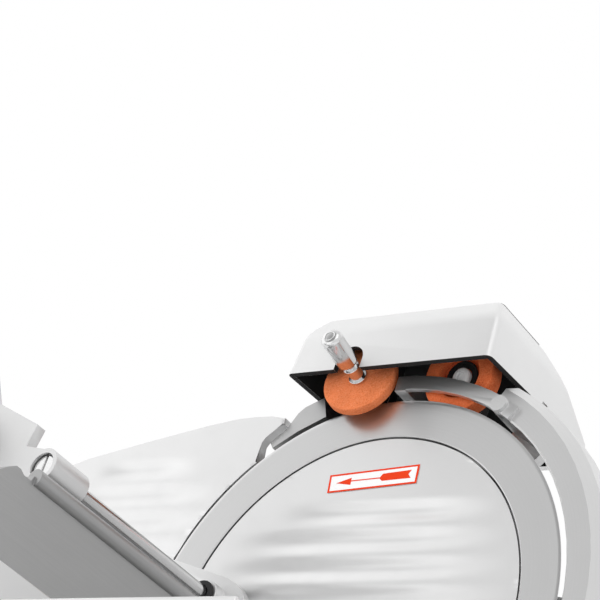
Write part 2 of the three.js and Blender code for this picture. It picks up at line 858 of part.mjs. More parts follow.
// Rim of a ribbed-belt pulley, from back to front, as points of radius and height
function groovedRim(radius, front) {
    const back = front - pulleyWidth;
    const pitch = pulleyWidth / pulleyGrooves;
    const points = [];
    for (let i = 0; i < pulleyGrooves; i++) {
        points.push([radius, back + i * pitch], [radius - pulleyGrooveDepth, back + (i + 0.5) * pitch]);
    }
    points.push([radius, front]);
    return points;
}

function bladePulley() {
    const back = pulleyFront - pulleyWidth;
    const web = (pulleyFront + back) / 2;
    const bore = spindleRadius + fitGap;
    const rimInner = pulleyRadius - pulleyRimThickness;
    return turned([
        [bore, back], [pulleyHubRadius, back], [pulleyHubRadius, web - pulleyWebThickness / 2],
        [rimInner, web - pulleyWebThickness / 2], [rimInner, back], ...groovedRim(pulleyRadius, pulleyFront),
        [rimInner, pulleyFront], [rimInner, web + pulleyWebThickness / 2],
        [pulleyHubRadius, web + pulleyWebThickness / 2], [pulleyHubRadius, pulleyFront],
        [bore, pulleyFront], [bore, back],
    ]);
}

function spindleNut() {
    const front = pulleyFront - pulleyWidth - fitGap;
    return cut(bar(spindleNutRadius, 0, 0, front - spindleNutThickness, front, 6),
        bar(spindleRadius + fitGap, 0, 0, front - spindleNutThickness - overrun, front + overrun));
}

function motorPulley() {
    const back = pulleyFront - pulleyWidth;
    const bore = motorShaftRadius + fitGap;
    return turned([
        [bore, back], ...groovedRim(motorPulleyRadius, pulleyFront), [bore, pulleyFront], [bore, back],
    ], 20);
}

function driveBelt() {
    const middle = pulleyFront - pulleyWidth / 2;
    const inner = wrapOutline(pulleyRadius + fitGap, motorPulleyRadius + fitGap, motorAcross, motorUp);
    const outer = wrapOutline(pulleyRadius + fitGap + beltThickness,
        motorPulleyRadius + fitGap + beltThickness, motorAcross, motorUp);
    outer.holes.push(new THREE.Path(inner.getPoints(15)));
    return slab(outer, middle - beltWidth / 2, middle + beltWidth / 2, 15);
}

function motorBody() {
    const back = motorFront - motorLength;
    const inner = motorRadius - motorWall;
    const hole = motorShaftRadius + runGap;
    return turned([
        [hole, back], [motorRadius - 2, back], [motorRadius, back + 2], [motorRadius, motorFront - 2],
        [motorRadius - 2, motorFront], [hole, motorFront], [hole, motorFront - motorWall],
        [inner, motorFront - motorWall], [inner, back + motorWall], [hole, back + motorWall], [hole, back],
    ]);
}

function motorRotor() {
    const back = motorFront - motorLength;
    const core = motorRadius - motorWall - rotorGap;
    const coreFront = motorFront - 2 * motorWall;
    const coreBack = back + 2 * motorWall;
    return turned([
        [0, back - 2], [motorShaftRadius, back - 2], [motorShaftRadius, coreBack], [core, coreBack],
        [core, coreFront], [motorShaftRadius, coreFront], [motorShaftRadius, pulleyFront], [0, pulleyFront],
    ]);
}

function motorBracket() {
    const front = motorFront + fitGap + bracketThickness;
    const plate = cut(bar(bracketRadius, 0, 0, motorFront + fitGap, front, 48),
        bar(bracketHole, 0, 0, motorFront - overrun, front + overrun));
    const posts = bracketPostDegrees.map((degrees) => {
        const [x, y] = polar(bracketPostDistance, degrees);
        return bar(bracketPostRadius, x, y, motorFront + fitGap, headPlateBack - fitGap, 20);
    });
    return join(plate, ...posts);
}

function beltCover() {
    const front = headPlateBack - fitGap;
    const outer = slab(wrapOutline(beltCoverRadius, motorCoverRadius, motorAcross, motorUp),
        beltCoverBack, front, 15);
    const inner = slab(wrapOutline(beltCoverRadius - coverWall, motorCoverRadius - coverWall,
        motorAcross, motorUp), beltCoverBack + coverWall, front + overrun, 15);
    const motorHole = bar(motorRadius + coverWall, motorAcross, motorUp, beltCoverBack - overrun, front, 48);
    const rodHole = bar(tieRodRadius + fitGap, 0, 0, beltCoverBack - overrun, front, 20);
    return cut(outer, inner, motorHole, rodHole);
}

function motorCover() {
    const front = beltCoverBack - fitGap;
    const shell = turned([
        [0, motorCoverBack], [motorCoverRadius - motorCoverEdge, motorCoverBack],
        [motorCoverRadius, motorCoverBack + motorCoverEdge],
        [motorCoverRadius, front], [motorCoverRadius - coverWall, front],
        [motorCoverRadius - coverWall, motorCoverBack + motorCoverInnerEdge],
        [motorCoverRadius - motorCoverInnerEdge, motorCoverBack + coverWall], [0, motorCoverBack + coverWall],
    ], 32);
    const vents = [];
    for (let i = 0; i < ventCount; i++) {
        const x = (i - (ventCount - 1) / 2) * ventPitch;
        vents.push(slab(roundedRectangle(x - ventWidth / 2, x + ventWidth / 2, -ventHalfLength,
            ventHalfLength, ventWidth / ventCornerPart), motorCoverBack - overrun,
                motorCoverBack + overrun, 2));
    }
    return cut(shell, ...vents);
}

function tieRod() {
    const knobFront = beltCoverBack - fitGap;
    const knob = lobedKnob(tieKnobRadius, tieKnobLength, 6, tieRodRadius, 1).translate(0, 0, knobFront);
    const tip = coverFront - coverThickness - 2;
    return join(knob, bar(tieRodRadius, 0, 0, knobFront - 1, tip, 20));
}

function sliceDeflector() {
    const near = headPlateBack - fitGap;
    const profile = outline([
        [-deflectorFlat, near], [-deflectorBendReach, -deflectorBendDrop],
        [-deflectorReach, -deflectorEdgeDrop], [-deflectorReach, -deflectorEdgeDrop - deflectorThickness],
        [-deflectorBendReach, -deflectorBendDrop - deflectorThickness],
        [-deflectorFlat, near - deflectorThickness], [0, near - deflectorThickness], [0, near],
    ]);
    const sheet = slab(profile, -deflectorHalfHeight, deflectorHalfHeight).rotateX(Math.PI / 2);
    const hub = bar(beltCoverRadius + beltCoverClearance, 0, 0, near - 2 * overrun, near + 2 * overrun, 64);
    const rightSide = block(-deflectorInner + overrun, overrun, -2 * deflectorHalfHeight,
        2 * deflectorHalfHeight, near - 2 * overrun, near + 2 * overrun);
    const limit = bar(deflectorLimitRadius, 0, 0, near - 2 * overrun, overrun, 96);
    return cut(common(sheet, limit), hub, rightSide);
}

// The housing is the overlap of its side outline and its front outline, hollowed from below
function housingBody(inset, extra) {
    const side = outline([
        [housingFront - inset, housingLip - extra], [housingCreaseFront - inset, housingCrease - inset / 3],
        [housingTopFront - inset / 2, housingTop - inset], [housingRoofRear, housingTop - inset],
        [housingHipRear + inset / 3, housingHip - inset],
        [housingRear + inset, housingRearShoulder - inset / 2],
        [housingRear + inset, (inset ? housingRearLip : housingSkirt) - extra],
        [housingRear + housingWall + housingLedge, (inset ? housingRearLip : housingSkirt) - extra],
        [housingRear + housingWall + housingLedge, housingRearLip - extra],
    ]);
    const front = outline([
        [-housingHalfWidth + inset, housingSkirt - overrun - extra],
        [housingHalfWidth - inset, housingSkirt - overrun - extra],
        [housingHalfWidth - inset, housingLip],
        [housingShoulderHalfWidth - inset, housingCrease - inset / 3],
        [housingTopHalfWidth - inset, housingTop - inset / 2 - 2],
        [housingTopHalfWidth - housingTopTaper - inset / 2, housingTop - inset],
        [-housingTopHalfWidth + housingTopTaper + inset / 2, housingTop - inset],
        [-housingTopHalfWidth + inset, housingTop - inset / 2 - 2],
        [-housingShoulderHalfWidth + inset, housingCrease - inset / 3],
        [-housingHalfWidth + inset, housingLip],
    ]);
    const long = slab(side, -2 * housingHalfWidth, 2 * housingHalfWidth);
    const along = new THREE.Matrix4().makeBasis(
        new THREE.Vector3(0, 0, 1), new THREE.Vector3(0, 1, 0), new THREE.Vector3(-1, 0, 0));
    return common(long.applyMatrix4(along), slab(front, housingRear - overrun, housingFront + overrun));
}

function truingFrame() {
    const frame = new THREE.Matrix4().makeRotationX(-THREE.MathUtils.degToRad(truingTiltDegrees));
    frame.multiply(new THREE.Matrix4().makeRotationY(THREE.MathUtils.degToRad(truingTurnDegrees)));
    return frame.setPosition(truingAcross, truingUp, truingForward);
}

function grindingFrame() {
    const frame = new THREE.Matrix4().makeRotationX(THREE.MathUtils.degToRad(grindingTiltDegrees));
    return frame.setPosition(grindingAcross, grindingUp, grindingForward);
}

function sharpenerHousing() {
    const shell = cut(housingBody(0, 0), housingBody(housingWall, overrun));
    const notchBack = housingCreaseFront - 2 * housingWall;
    const notchCentre = truingAcross + notchAside;
    const notch = join(
        bar(notchRadius, notchCentre, notchHeight, notchBack, housingFront + overrun, 32),
        block(notchCentre - notchRadius, notchCentre + notchRadius, housingSkirt, notchHeight,
            notchBack, housingFront + overrun),
    );
    const sideNotch = block(housingHalfWidth - 2 * housingWall, housingHalfWidth + overrun, housingSkirt,
        sideNotchTop, sideNotchForward - sideNotchHalfWidth, sideNotchForward + sideNotchHalfWidth);
    const lugs = [[truingLugAcross, truingLugFront], [grindingAcross, grindingLugFront]].map(([x, front]) =>
        block(x - lugHalfWidth, x + lugHalfWidth, lugBottom, housingTop - housingWall / 2,
            front - lugThickness, front));
    const pinBore = bar(pushPinRadius + fitGap, 0, 0, -2 * pushPinTail, pushPinTail, 20)
        .applyMatrix4(truingFrame());
    const screwBore = bar(stoneScrewRadius + fitGap, 0, 0, -2 * stoneScrewLength, stoneScrewLength, 20)
        .applyMatrix4(grindingFrame());
    const holder = common(barAlongY(postHolderRadius, 0, postAcross, postHolderBottom, housingTop),
        housingBody(0, 0));
    const postBore = barAlongY(postRadius + fitGap, 0, postAcross, postBottom, postTop + fitGap);
    const boredLugs = cut(join(...lugs), pinBore, screwBore);
    return cut(join(cut(shell, notch, sideNotch), boredLugs, holder), postBore);
}

function sharpenerPost() {
    return barAlongY(postRadius, 0, postAcross, postBottom, postTop);
}

function clampKnob() {
    const face = headPlateBack - postBossDepth - runGap;
    const reach = postAcross - postRadius - fitGap - face;
    return lobedKnob(clampKnobRadius, clampKnobLength, clampKnobLobes, clampScrewRadius, reach)
        .translate(0, clampHeight, face);
}

function truingStone() {
    const bore = pushPinRadius + fitGap;
    return turned([
        [bore, -truingThickness], [stoneRadius - stoneEdge, -truingThickness],
        [stoneRadius, -truingThickness + stoneEdge], [stoneRadius, -stoneEdge],
        [stoneRadius - stoneEdge, 0], [bore, 0], [bore, -truingThickness],
    ]);
}

function pushPin() {
    const end = pushKnobStart + pushKnobLength;
    const clip = -pushPinTail + pushClipInset;
    const washer = fitGap + pushCollarLength;
    const ring = pushHubEnd + pushRingLength;
    return turned([
        [0, -pushPinTail], [pushPinRadius, -pushPinTail], [pushPinRadius, clip],
        [pushClipRadius, clip], [pushClipRadius, clip + pushClipThickness],
        [pushPinRadius, clip + pushClipThickness], [pushPinRadius, fitGap],
        [pushCollarRadius, fitGap], [pushCollarRadius, washer], [pushHubRadius, washer],
        [pushHubRadius, pushHubEnd], [pushRingRadius, pushHubEnd], [pushRingRadius, ring],
        [pushPinRadius, ring], [pushPinRadius, pushKnobStart],
        [pushKnobRadius - pushKnobEdge, pushKnobStart], [pushKnobRadius, pushKnobStart + pushKnobEdge],
        [pushKnobRadius, end - pushKnobDome],
        [pushKnobRadius * pushKnobRimShare, end - pushKnobDome * pushKnobDropShare],
        [pushKnobRadius * pushKnobFlatShare, end], [0, end],
    ], 20);
}

// An open coil, one unbroken wire, between the stone's back and the lug
function pinSpring() {
    const tilt = Math.acos(Math.cos(THREE.MathUtils.degToRad(truingTiltDegrees))
        * Math.cos(THREE.MathUtils.degToRad(truingTurnDegrees)));
    const start = -truingThickness - fitGap - springWire;
    const end = (truingLugFront - truingForward) / Math.cos(tilt) + springRadius * Math.tan(tilt)
        + springWire + fitGap;
    const points = [];
    const stepsPerTurn = 8;
    const steps = springTurns * stepsPerTurn;
    for (let i = 0; i <= steps; i++) {
        const angle = 2 * Math.PI * springTurns * i / steps;
        points.push(new THREE.Vector3(springRadius * Math.cos(angle), springRadius * Math.sin(angle),
            start + (end - start) * i / steps));
    }
    let nearest = Infinity;
    for (let i = 0; i < points.length; i++) {
        for (let j = i + stepsPerTurn - 2; j < points.length; j++) {
            nearest = Math.min(nearest, points[i].distanceTo(points[j]));
        }
    }
    console.log(`push pin spring: least gap ${(nearest - springWire).toFixed(2)} mm`);
    const wire = outline(Array.from({ length: 5 }, (_, i) => polar(springWire / 2, 72 * i)));
    return new THREE.ExtrudeGeometry(wire, {
        steps, extrudePath: new THREE.CatmullRomCurve3(points), bevelEnabled: false,
    });
}

function grindingStone() {
    const bore = stoneScrewRadius + fitGap;
    return turned([
        [bore, -stoneThickness], [stoneRadius - stoneEdge, -stoneThickness],
        [stoneRadius, -stoneThickness + stoneEdge], [stoneRadius, -stoneEdge],
        [stoneRadius - stoneEdge, 0], [cupRadius + stoneEdge, 0], [cupRadius, -stoneEdge],
        [cupRadius, -cupDepth], [bore, -cupDepth], [bore, -stoneThickness],
    ]);
}

function stoneScrew() {
    const seat = -cupDepth + fitGap;
    return turned([
        [0, -stoneScrewLength], [stoneScrewRadius, -stoneScrewLength], [stoneScrewRadius, seat],
        [stoneScrewHeadRadius, seat], [stoneScrewHeadRadius, seat + stoneScrewHeadThickness - 1],
        [stoneScrewHeadRadius - 1, seat + stoneScrewHeadThickness],
        [stoneSocketRadius, seat + stoneScrewHeadThickness],
        [stoneSocketRadius, seat + stoneScrewHeadThickness - stoneSocketDepth],
        [0, seat + stoneScrewHeadThickness - stoneSocketDepth],
    ], 16);
}

// The gauge plate's outline follows the blade on its right side
function gaugePlate() {
    const bladeClearance = bladeRadius + gaugeBladeGap;
    const points = [
        polar(bladeClearance, gaugeTipDegrees), ...gaugeTopOutline, [-gaugeLeft + gaugeCorner, gaugeLeftTop],
    ];
    for (let i = 0; i <= 4; i++) {
        const [x, y] = polar(gaugeCorner, 90 + cornerStepDegrees * i);
        points.push([-gaugeLeft + gaugeCorner + x, gaugeLeftTop - gaugeCorner + y]);
    }
    for (let i = 0; i <= 4; i++) {
        const [x, y] = polar(gaugeCorner, 180 + cornerStepDegrees * i);
        points.push([-gaugeLeft + gaugeCorner + x, -gaugeBottom + gaugeCorner + y]);
    }
    const lastAngle = 180 + THREE.MathUtils.radToDeg(Math.asin(gaugeBottom / bladeClearance));
    const turnDegrees = gaugeTipDegrees - lastAngle;
    for (let i = 0; i < gaugeArcSteps; i++) {
        points.push(polar(bladeClearance, lastAngle + turnDegrees * i / gaugeArcSteps));
    }
    const plate = slab(outline(points), -gaugeThickness, 0);
    const troughs = [];
    for (let i = 0; i < gaugeRibCount; i++) {
        const halfLength = gaugeRibHalfLength * (i ? 1 : gaugeFirstRibShare);
        troughs.push(trough(-gaugeRibCentre, gaugeRibTop - i * gaugeRibPitch, 0, halfLength,
            gaugeRibHalfHeight, gaugeRibDepth));
    }
    return cut(plate, ...troughs);
}

function gaugeArm() {
    const front = -gaugeThickness - fitGap;
    return slab(roundedRectangle(-gaugeArmCentre - gaugeArmHalfWidth, -gaugeArmCentre + gaugeArmHalfWidth,
        -gaugeArmBottom, gaugeArmTop, gaugeArmHalfWidth / 2), front - gaugeArmThickness, front);
}

// The guide shaft ends in a flat follower that the dial's cam pushes on
function gaugeShaft() {
    const front = -gaugeThickness - 2 * fitGap - gaugeArmThickness;
    const follower = slab(roundedRectangle(-gaugeArmCentre - followerHalfWidth,
        -gaugeArmCentre + followerHalfWidth, followerBottom, gaugeShaftUp + followerHalfWidth,
        followerHalfWidth / 2), gaugeShaftRear - followerThickness, gaugeShaftRear);
    return join(follower, bar(gaugeShaftRadius, -gaugeArmCentre, gaugeShaftUp, gaugeShaftRear - 1, front));
}

// Dial shaft with its spiral cam, drawn along y
function dialShaft() {
    const steps = 48;
    const points = [];
    const full = camTurnDegrees + camSpareDegrees;
    for (let i = 0; i <= steps; i++) {
        const degrees = full * i / steps;
        points.push(polar(camMaxRadius - (camMaxRadius - camMinRadius) * degrees / full, degrees));
    }
    const heading = new THREE.Vector2(Math.cos(lean), Math.sin(lean));
    const cam = slab(outline(points), -camThickness / 2, camThickness / 2);
    cam.rotateX(Math.PI / 2);
    cam.rotateY(-Math.atan2(heading.y, heading.x));
    cam.translate(camCentre().x, -gaugeArmCentre, camCentre().z);
    const shaft = barAlongY(dialShaftRadius, camCentre().x, camCentre().z,
        -baseFront - dialThickness / 2, -gaugeArmCentre + camThickness, 24);
    return join(cam, shaft);
}

function thicknessDial() {
    const knob = turned([
        [dialShaftRadius + fitGap, 0], [dialRadius, 0], [dialRadius, dialFlangeThickness],
        [dialRadius * dialFootShare, dialFlangeThickness],
        [dialRadius * dialShoulderShare, dialThickness - dialEdge],
        [dialRadius * dialFaceShare, dialThickness], [0, dialThickness],
        [0, dialThickness / 2 + 1], [dialShaftRadius + fitGap, dialThickness / 2 + 1],
        [dialShaftRadius + fitGap, 0],
    ]);
    const grips = [];
    for (let i = 0; i < dialGripCount; i++) {
        const [x, y] = polar(dialRadius * dialGripShare + dialGripRadius * dialGripOutShare,
            360 * i / dialGripCount);
        grips.push(bar(dialGripRadius, x, y, dialFlangeThickness + dialGripStart,
            dialThickness + overrun, 8));
    }
    return cut(knob, ...grips).rotateX(Math.PI / 2)
        .translate(camCentre().x, -baseFront - runGap, camCentre().z);
}

function carriageTray() {
    const shape = new THREE.Shape();
    shape.moveTo(wallFace - wallThickness, trayInner);
    shape.lineTo(trayRight, trayInner);
    shape.lineTo(trayRight, trayOuter - trayCorner);
    shape.absarc(trayRight - trayCorner, trayOuter - trayCorner, trayCorner, 0, Math.PI / 2);
    shape.lineTo(wallFace - wallThickness, trayOuter);
    const flat = slab(shape, 0, trayThickness);
    const floor = flat.applyMatrix4(new THREE.Matrix4().makeBasis(
        new THREE.Vector3(1, 0, 0), new THREE.Vector3(0, 0, 1), new THREE.Vector3(0, 1, 0)))
        .translate(0, trayTop - trayThickness, 0);
    const flange = block(wallFace + fitGap, wallFace + fitGap + trayFlangeThickness, trayTop - 1,
        trayFlangeTop, trayFlangeStart, trayOuter - trayThickness);
    const lip = block(wallFace + fitGap, trayRight - trayCorner, trayTop - 1, trayTop + trayLipHeight,
        trayOuter - trayThickness, trayOuter);
    return join(floor, flange, lip);
}

function carriageWall() {
    const side = outline([
        [wallInner, trayTop + fitGap], [wallOuter, trayTop + fitGap], [wallOuter, wallTop - wallOuterDrop],
        [wallShoulderEnd, wallTop - wallShoulderEndDrop], [wallShoulderStart, wallTop - wallShoulderDrop],
        [wallCrestEnd, wallTop - wallCrestDrop], [wallCrestStart, wallTop - wallCrestDrop],
        [wallStepEnd, wallTop - wallStepDrop], [wallStepStart + wallStepRun, wallTop - wallStepDrop],
        [wallStepStart, wallTop], [wallInner, wallTop],
    ]);
    const turn = new THREE.Matrix4().makeBasis(
        new THREE.Vector3(0, 0, 1), new THREE.Vector3(0, 1, 0), new THREE.Vector3(-1, 0, 0));
    const plate = slab(side, -wallFace, -wallFace + wallThickness).applyMatrix4(turn);
    const rim = bar(rimRadius, wallFace - rimSetBack, wallTop, wallInner, rimEnd, 24);
    return join(plate, rim);
}

function thumbGuard() {
    const shape = new THREE.Shape();
    shape.moveTo(-guardLeft, guardBottom);
    shape.lineTo(-guardRight, guardBottom);
    shape.lineTo(-guardRight, guardSideTop);
    shape.quadraticCurveTo(-guardRight, guardSideCurve, -guardShoulderAcross, guardShoulder);
    shape.lineTo(-guardLowAcross, guardLow);
    shape.lineTo(-guardHighAcross, guardHigh);
    shape.quadraticCurveTo(-guardCrownAcross, guardCrown, -guardCrownAcross, guardHigh);
    shape.quadraticCurveTo(-guardLeft, guardHigh, -guardLeft, guardSideTop);
    const front = guardInner + guardThickness;
    const boss = bar(rodBossRadius, rodAcross, rodUp, guardInner + guardThickness / 2,
        front + rodBossLength, 32);
    const socket = bar(rodRadius + fitGap, rodAcross, rodUp, rodInnerEnd - fitGap,
        front + rodBossLength + overrun, 24);
    return cut(join(slab(shape, guardInner, front, 6), boss), socket);
}

function rodSeal() {
    const start = guardInner + guardThickness + rodBossLength + fitGap;
    return cut(bar(rodSealRadius, rodAcross, rodUp, start, start + rodSealLength, 24),
        bar(rodRadius + fitGap, rodAcross, rodUp, start - overrun, start + overrun, 24));
}

function rodScrew() {
    const head = bar(rodScrewRadius, rodAcross, rodUp, rodOuterEnd + fitGap,
        rodOuterEnd + fitGap + rodScrewThickness, 24);
    const slot = block(rodAcross - rodScrewSlot / 2, rodAcross + rodScrewSlot / 2, rodUp - 2 * rodScrewRadius,
        rodUp + 2 * rodScrewRadius, rodOuterEnd + fitGap + rodScrewThickness / 2, rodOuterEnd + overrun);
    return cut(head, slot);
}

// The pusher is drawn over the tray, about its rod, and then swung back to where it is parked
function parked(geometry) {
    return geometry.rotateZ(THREE.MathUtils.degToRad(pusherParkDegrees)).translate(rodAcross, rodUp, 0);
}

function pusherArm() {
    const plateBack = hubOuter - pusherPlateThickness;
    const shape = outline([
        [0, armUpper], [armStepAcross, armUpper], [armFar - armFarCorner, armFarUpper],
        [armFar, armFarUpper - armFarCorner], [armFar, armLower + armFarCorner],
        [armFar - armFarCorner, armLower], [armFootNear, armLower], [armBendAcross, -armBendDrop],
        [armStepAcross, -armStepDrop], [armStepAcross, -armNotchDrop], [0, -armNotchDrop],
    ]);
    const plate = slab(shape, plateBack, hubOuter);
    const hub = bar(hubRadius, 0, 0, hubInner, hubOuter, 32);
    const bore = bar(pusherBushRadius + fitGap, 0, 0, hubInner - overrun, hubOuter + overrun, 24);
    const recess = bar(hubRecessRadius, 0, 0, hubOuter - hubRecessDepth, hubOuter + overrun, 24);
    return parked(cut(join(plate, hub), bore, recess));
}

// The arm swings on this sleeve, and both slide along the rod
function pusherBush() {
    const start = hubInner + pusherBushInset;
    const end = hubOuter - hubRecessDepth - fitGap;
    return cut(bar(pusherBushRadius, rodAcross, rodUp, start, end, 24),
        bar(rodRadius + fitGap, rodAcross, rodUp, start - overrun, end + overrun, 24));
}

function pusherTeeth() {
    const far = armFar - teethPlateInset;
    const upper = armFarUpper - teethPlateInset;
    const lower = armLower + teethPlateInset;
    const back = hubOuter - pusherPlateThickness - fitGap;
    const front = back - teethPlateThickness;
    const plate = slab(outline([
        [teethPlateNear, upper], [far, upper], [far, lower], [teethPlateFootNear, lower],
        [teethPlateNear, -armBendDrop],
    ]), front, back);
    const leftEdge = (y) => teethPlateNear + Math.max(0, (-armBendDrop - y) / (-armBendDrop - lower))
        * (teethPlateFootNear - teethPlateNear);
    const teeth = [];
    for (let y = upper - teethMargin; y > lower + teethMargin / 2; y -= toothPitch) {
        for (let x = far - teethMargin; x > leftEdge(y) + teethMargin; x -= toothPitch) {
            const tooth = new THREE.ConeGeometry(toothHalfWidth, 2 * toothHeight, 4).rotateX(-Math.PI / 2);
            teeth.push(tooth.translate(x, y, front));
        }
    }
    const limit = block(teethPlateNear, far, lower, upper, front - 2 * toothHeight, back);
    return parked(common(join(plate, ...teeth), limit));
}

function pusherKnob() {
    const face = hubOuter + fitGap;
    const top = face + pusherKnobStemLength;
    const points = [[0, face], [pusherKnobStemRadius, face],
    [pusherKnobStemRadius * pusherKnobNeckShare, top]];
    for (let i = 1; i <= 8; i++) {
        const angle = Math.PI * (i / 8) * 0.86 - Math.PI * 0.36;
        points.push([pusherKnobRadius * Math.cos(angle),
            top + pusherKnobRadius * (pusherKnobRiseShare + Math.sin(angle))]);
    }
    points.push([0, top + pusherKnobRadius * pusherKnobTopShare]);
    return parked(turned(points, 20).translate(pusherKnobAcross, pusherKnobUp, 0));
}

function carriageFoot() {
    const y0 = slideBlockCentre - slideBlockHalfLength;
    const y1 = slideBlockCentre + slideBlockHalfLength;
    const left = slideRodAcross - slideBlockHalfWidth;
    const bottom = slideRodHeight - slideBlockHalfHeight;
    const core = block(left, slideRodAcross + slideBlockHalfWidth, y0, y1, bottom,
        slideRodHeight + slideBlockHalfHeight);
    const gap = guideRailThickness / 2 + runGap;
    const lips = [-1, 1].map((side) => block(
        guideRailAcross + Math.min(side * gap, side * (gap + guideLipThickness)),
        guideRailAcross + Math.max(side * gap, side * (gap + guideLipThickness)),
        y0, y1, guideLipBottom, bottom + 1));
    const shoulder = block(left - shoulderReach, slideRodAcross, y0, y1,
        bottom + shoulderRaise, bottom + shoulderHeight);
    const web = block(slideRodAcross, legOffset + legThickness, slideBlockCentre - legHalfWidth,
        slideBlockCentre + legHalfWidth, slideRodHeight - legWebThickness / 2,
        slideRodHeight + legWebThickness / 2);
    const leg = block(legOffset, legOffset + legThickness, slideBlockCentre - legHalfWidth,
        slideBlockCentre + legHalfWidth, slideRodHeight - legWebThickness / 2, legTopHeight);
    const saddle = slab(roundedRectangle(slideBlockCentre - saddleHalfWidth,
        slideBlockCentre + saddleHalfWidth, trayTop - trayThickness - fitGap - saddleThickness,
        trayTop - trayThickness - fitGap, 2), saddleInner, saddleOuter).applyMatrix4(leaningFrame);
    const rodBore = barAlongY(bushOuterRadius + fitGap, slideRodAcross, slideRodHeight,
        y0 - overrun, y1 + overrun);
    const knobBore = barAlongY(trayKnobScrewRadius + fitGap, slideBlockCentre, trayKnobAlong,
        trayTop - trayThickness - 3 * saddleThickness, trayTop - trayThickness, 20,
    ).applyMatrix4(leaningFrame);
    return cut(join(core, ...lips, shoulder, web, leg, saddle), rodBore, knobBore);
}

function slideBush(y) {
    const ring = [
        [slideRodRadius + fitGap, 0], [bushOuterRadius, 0], [bushOuterRadius, bushLength],
        [slideRodRadius + fitGap, bushLength], [slideRodRadius + fitGap, 0],
    ];
    return turned(ring, 24).rotateX(Math.PI / 2).translate(slideRodAcross, y + bushLength, slideRodHeight);
}

function trayKnob() {
    const face = trayTop - trayThickness - fitGap - saddleThickness - runGap;
    return lobedKnob(trayKnobRadius, trayKnobLength, 5, trayKnobScrewRadius, saddleThickness)
        .rotateX(-Math.PI / 2).translate(slideBlockCentre, face, trayKnobAlong);
}

function carriageHandle() {
    const points = [[0, 0], [handleNeckRadius, 0], [handleNeckRadius, handleNeckLength]];
    handleSwellShares.forEach((share, i) => points.push(
        [handleRadius * share,
            handleNeckLength + handleLength * (i + handleStartShare) / handleSwellShares.length]));
    points.push([handleRadius / 2, handleNeckLength + handleLength], [0, handleNeckLength + handleLength]);
    return turned(points, 20).rotateY(-Math.PI / 2)
        .translate(wallFace - wallThickness - fitGap, handleUp, handleAlong);
}

function switchPanel() {
    const shape = roundedRectangle(-panelCentre - panelHalfWidth, -panelCentre + panelHalfWidth,
        panelHeight - panelHalfHeight, panelHeight + panelHalfHeight, 6);
    const plate = slab(shape, 0, panelThickness).rotateX(Math.PI / 2)
        .translate(0, -baseFront - fitGap, 0);
    const holes = [-buttonSpread, buttonSpread].map((side) => barAlongY(buttonStemRadius + runGap,
        -panelCentre + side, panelHeight, -baseFront - 2 * overrun, -baseFront + overrun, 24));
    return cut(plate, ...holes);
}

function pushButton(side) {
    const faceGap = buttonTravel + runGap;
    const points = [
        [0, -buttonStem], [buttonStemRadius, -buttonStem], [buttonStemRadius, faceGap],
        [buttonRadius, faceGap], [buttonRadius, faceGap + buttonProud - buttonEdge],
        [buttonRadius - buttonEdge, faceGap + buttonProud], [0, faceGap + buttonProud],
    ];
    return turned(points, 20).rotateX(Math.PI / 2)
        .translate(-panelCentre + side, -baseFront - fitGap - panelThickness, panelHeight);
}

function switchBlock() {
    const wallBack = -baseFront + baseWall;
    const front = wallBack + buttonTravel + overrun;
    const left = -panelCentre - panelHalfWidth + switchBlockInset;
    const right = -panelCentre + panelHalfWidth - switchBlockInset;
    const bottom = panelHeight - panelHalfHeight + switchBlockMargin;
    const top = panelHeight + panelHalfHeight - switchBlockMargin;
    const body = block(left, right, front, front + switchBlockDepth, bottom, top);
    const feet = [left, right - switchFootWidth].map((x) => block(x, x + switchFootWidth,
        wallBack + fitGap, front + switchBlockDepth / 2, bottom, top));
    return join(body, ...feet);
}

function capacitor() {
    const bottom = baseBottomZ + bottomPlateThickness + fitGap;
    return barAlongY(capacitorRadius, -panelCentre, bottom + capacitorRadius, 70, 70 + capacitorLength);
}

function cordGland() {
    return turned([
        [glandBore, -baseWall - glandStemLength],
        [glandRadius - glandStep, -baseWall - glandStemLength], [glandRadius - glandStep, fitGap],
        [glandNutRadius, fitGap], [glandNutRadius, fitGap + glandNutLength],
        [glandRadius, fitGap + glandNutLength], [glandRadius * glandTaperShare, fitGap + glandLength],
        [glandBore, fitGap + glandLength], [glandBore, -baseWall - glandStemLength],
    ], 16).rotateX(-Math.PI / 2).translate(glandAcross, baseRear, glandHeight);
}

function slideRod() {
    const reach = channelEndWall - slideRodSeat + fitGap;
    return barAlongY(slideRodRadius, slideRodAcross, slideRodHeight, -baseFront + reach, baseRear - reach);
}

function guideRail() {
    const reach = channelEndWall - slideRodSeat + fitGap;
    return block(guideRailAcross - guideRailThickness / 2, guideRailAcross + guideRailThickness / 2,
        -baseFront + reach, baseRear - reach, guideRailBottom, guideRailTop);
}

const finishes = {
    castAluminium: { color: 0xc9cbcc, roughness: 0.42, metalness: 0.85 },
    platedSteel: { color: 0xb9bbbd, roughness: 0.2, metalness: 1 },
    darkSteel: { color: 0x8e9092, roughness: 0.3, metalness: 1 },
    anodisedGrey: { color: 0x8b8c8d, roughness: 0.4, metalness: 0.7 },
    stone: { color: 0xd06a3c, roughness: 0.95, metalness: 0 },
    blackPlastic: { color: 0x1c1c1d, roughness: 0.45, metalness: 0 },
    rubber: { color: 0x202021, roughness: 0.85, metalness: 0 },
    green: { color: 0x2f8a46, roughness: 0.4, metalness: 0 },
    red: { color: 0xb8281f, roughness: 0.4, metalness: 0 },
    bronze: { color: 0xb08a4e, roughness: 0.4, metalness: 0.9 },
    greyPlastic: { color: 0x9c9c9a, roughness: 0.55, metalness: 0 },
};

function piece(name, geometry, finish) {
    const mesh = new THREE.Mesh(geometry, new THREE.MeshStandardMaterial(finishes[finish]));
    mesh.name = name;
    return mesh;
}

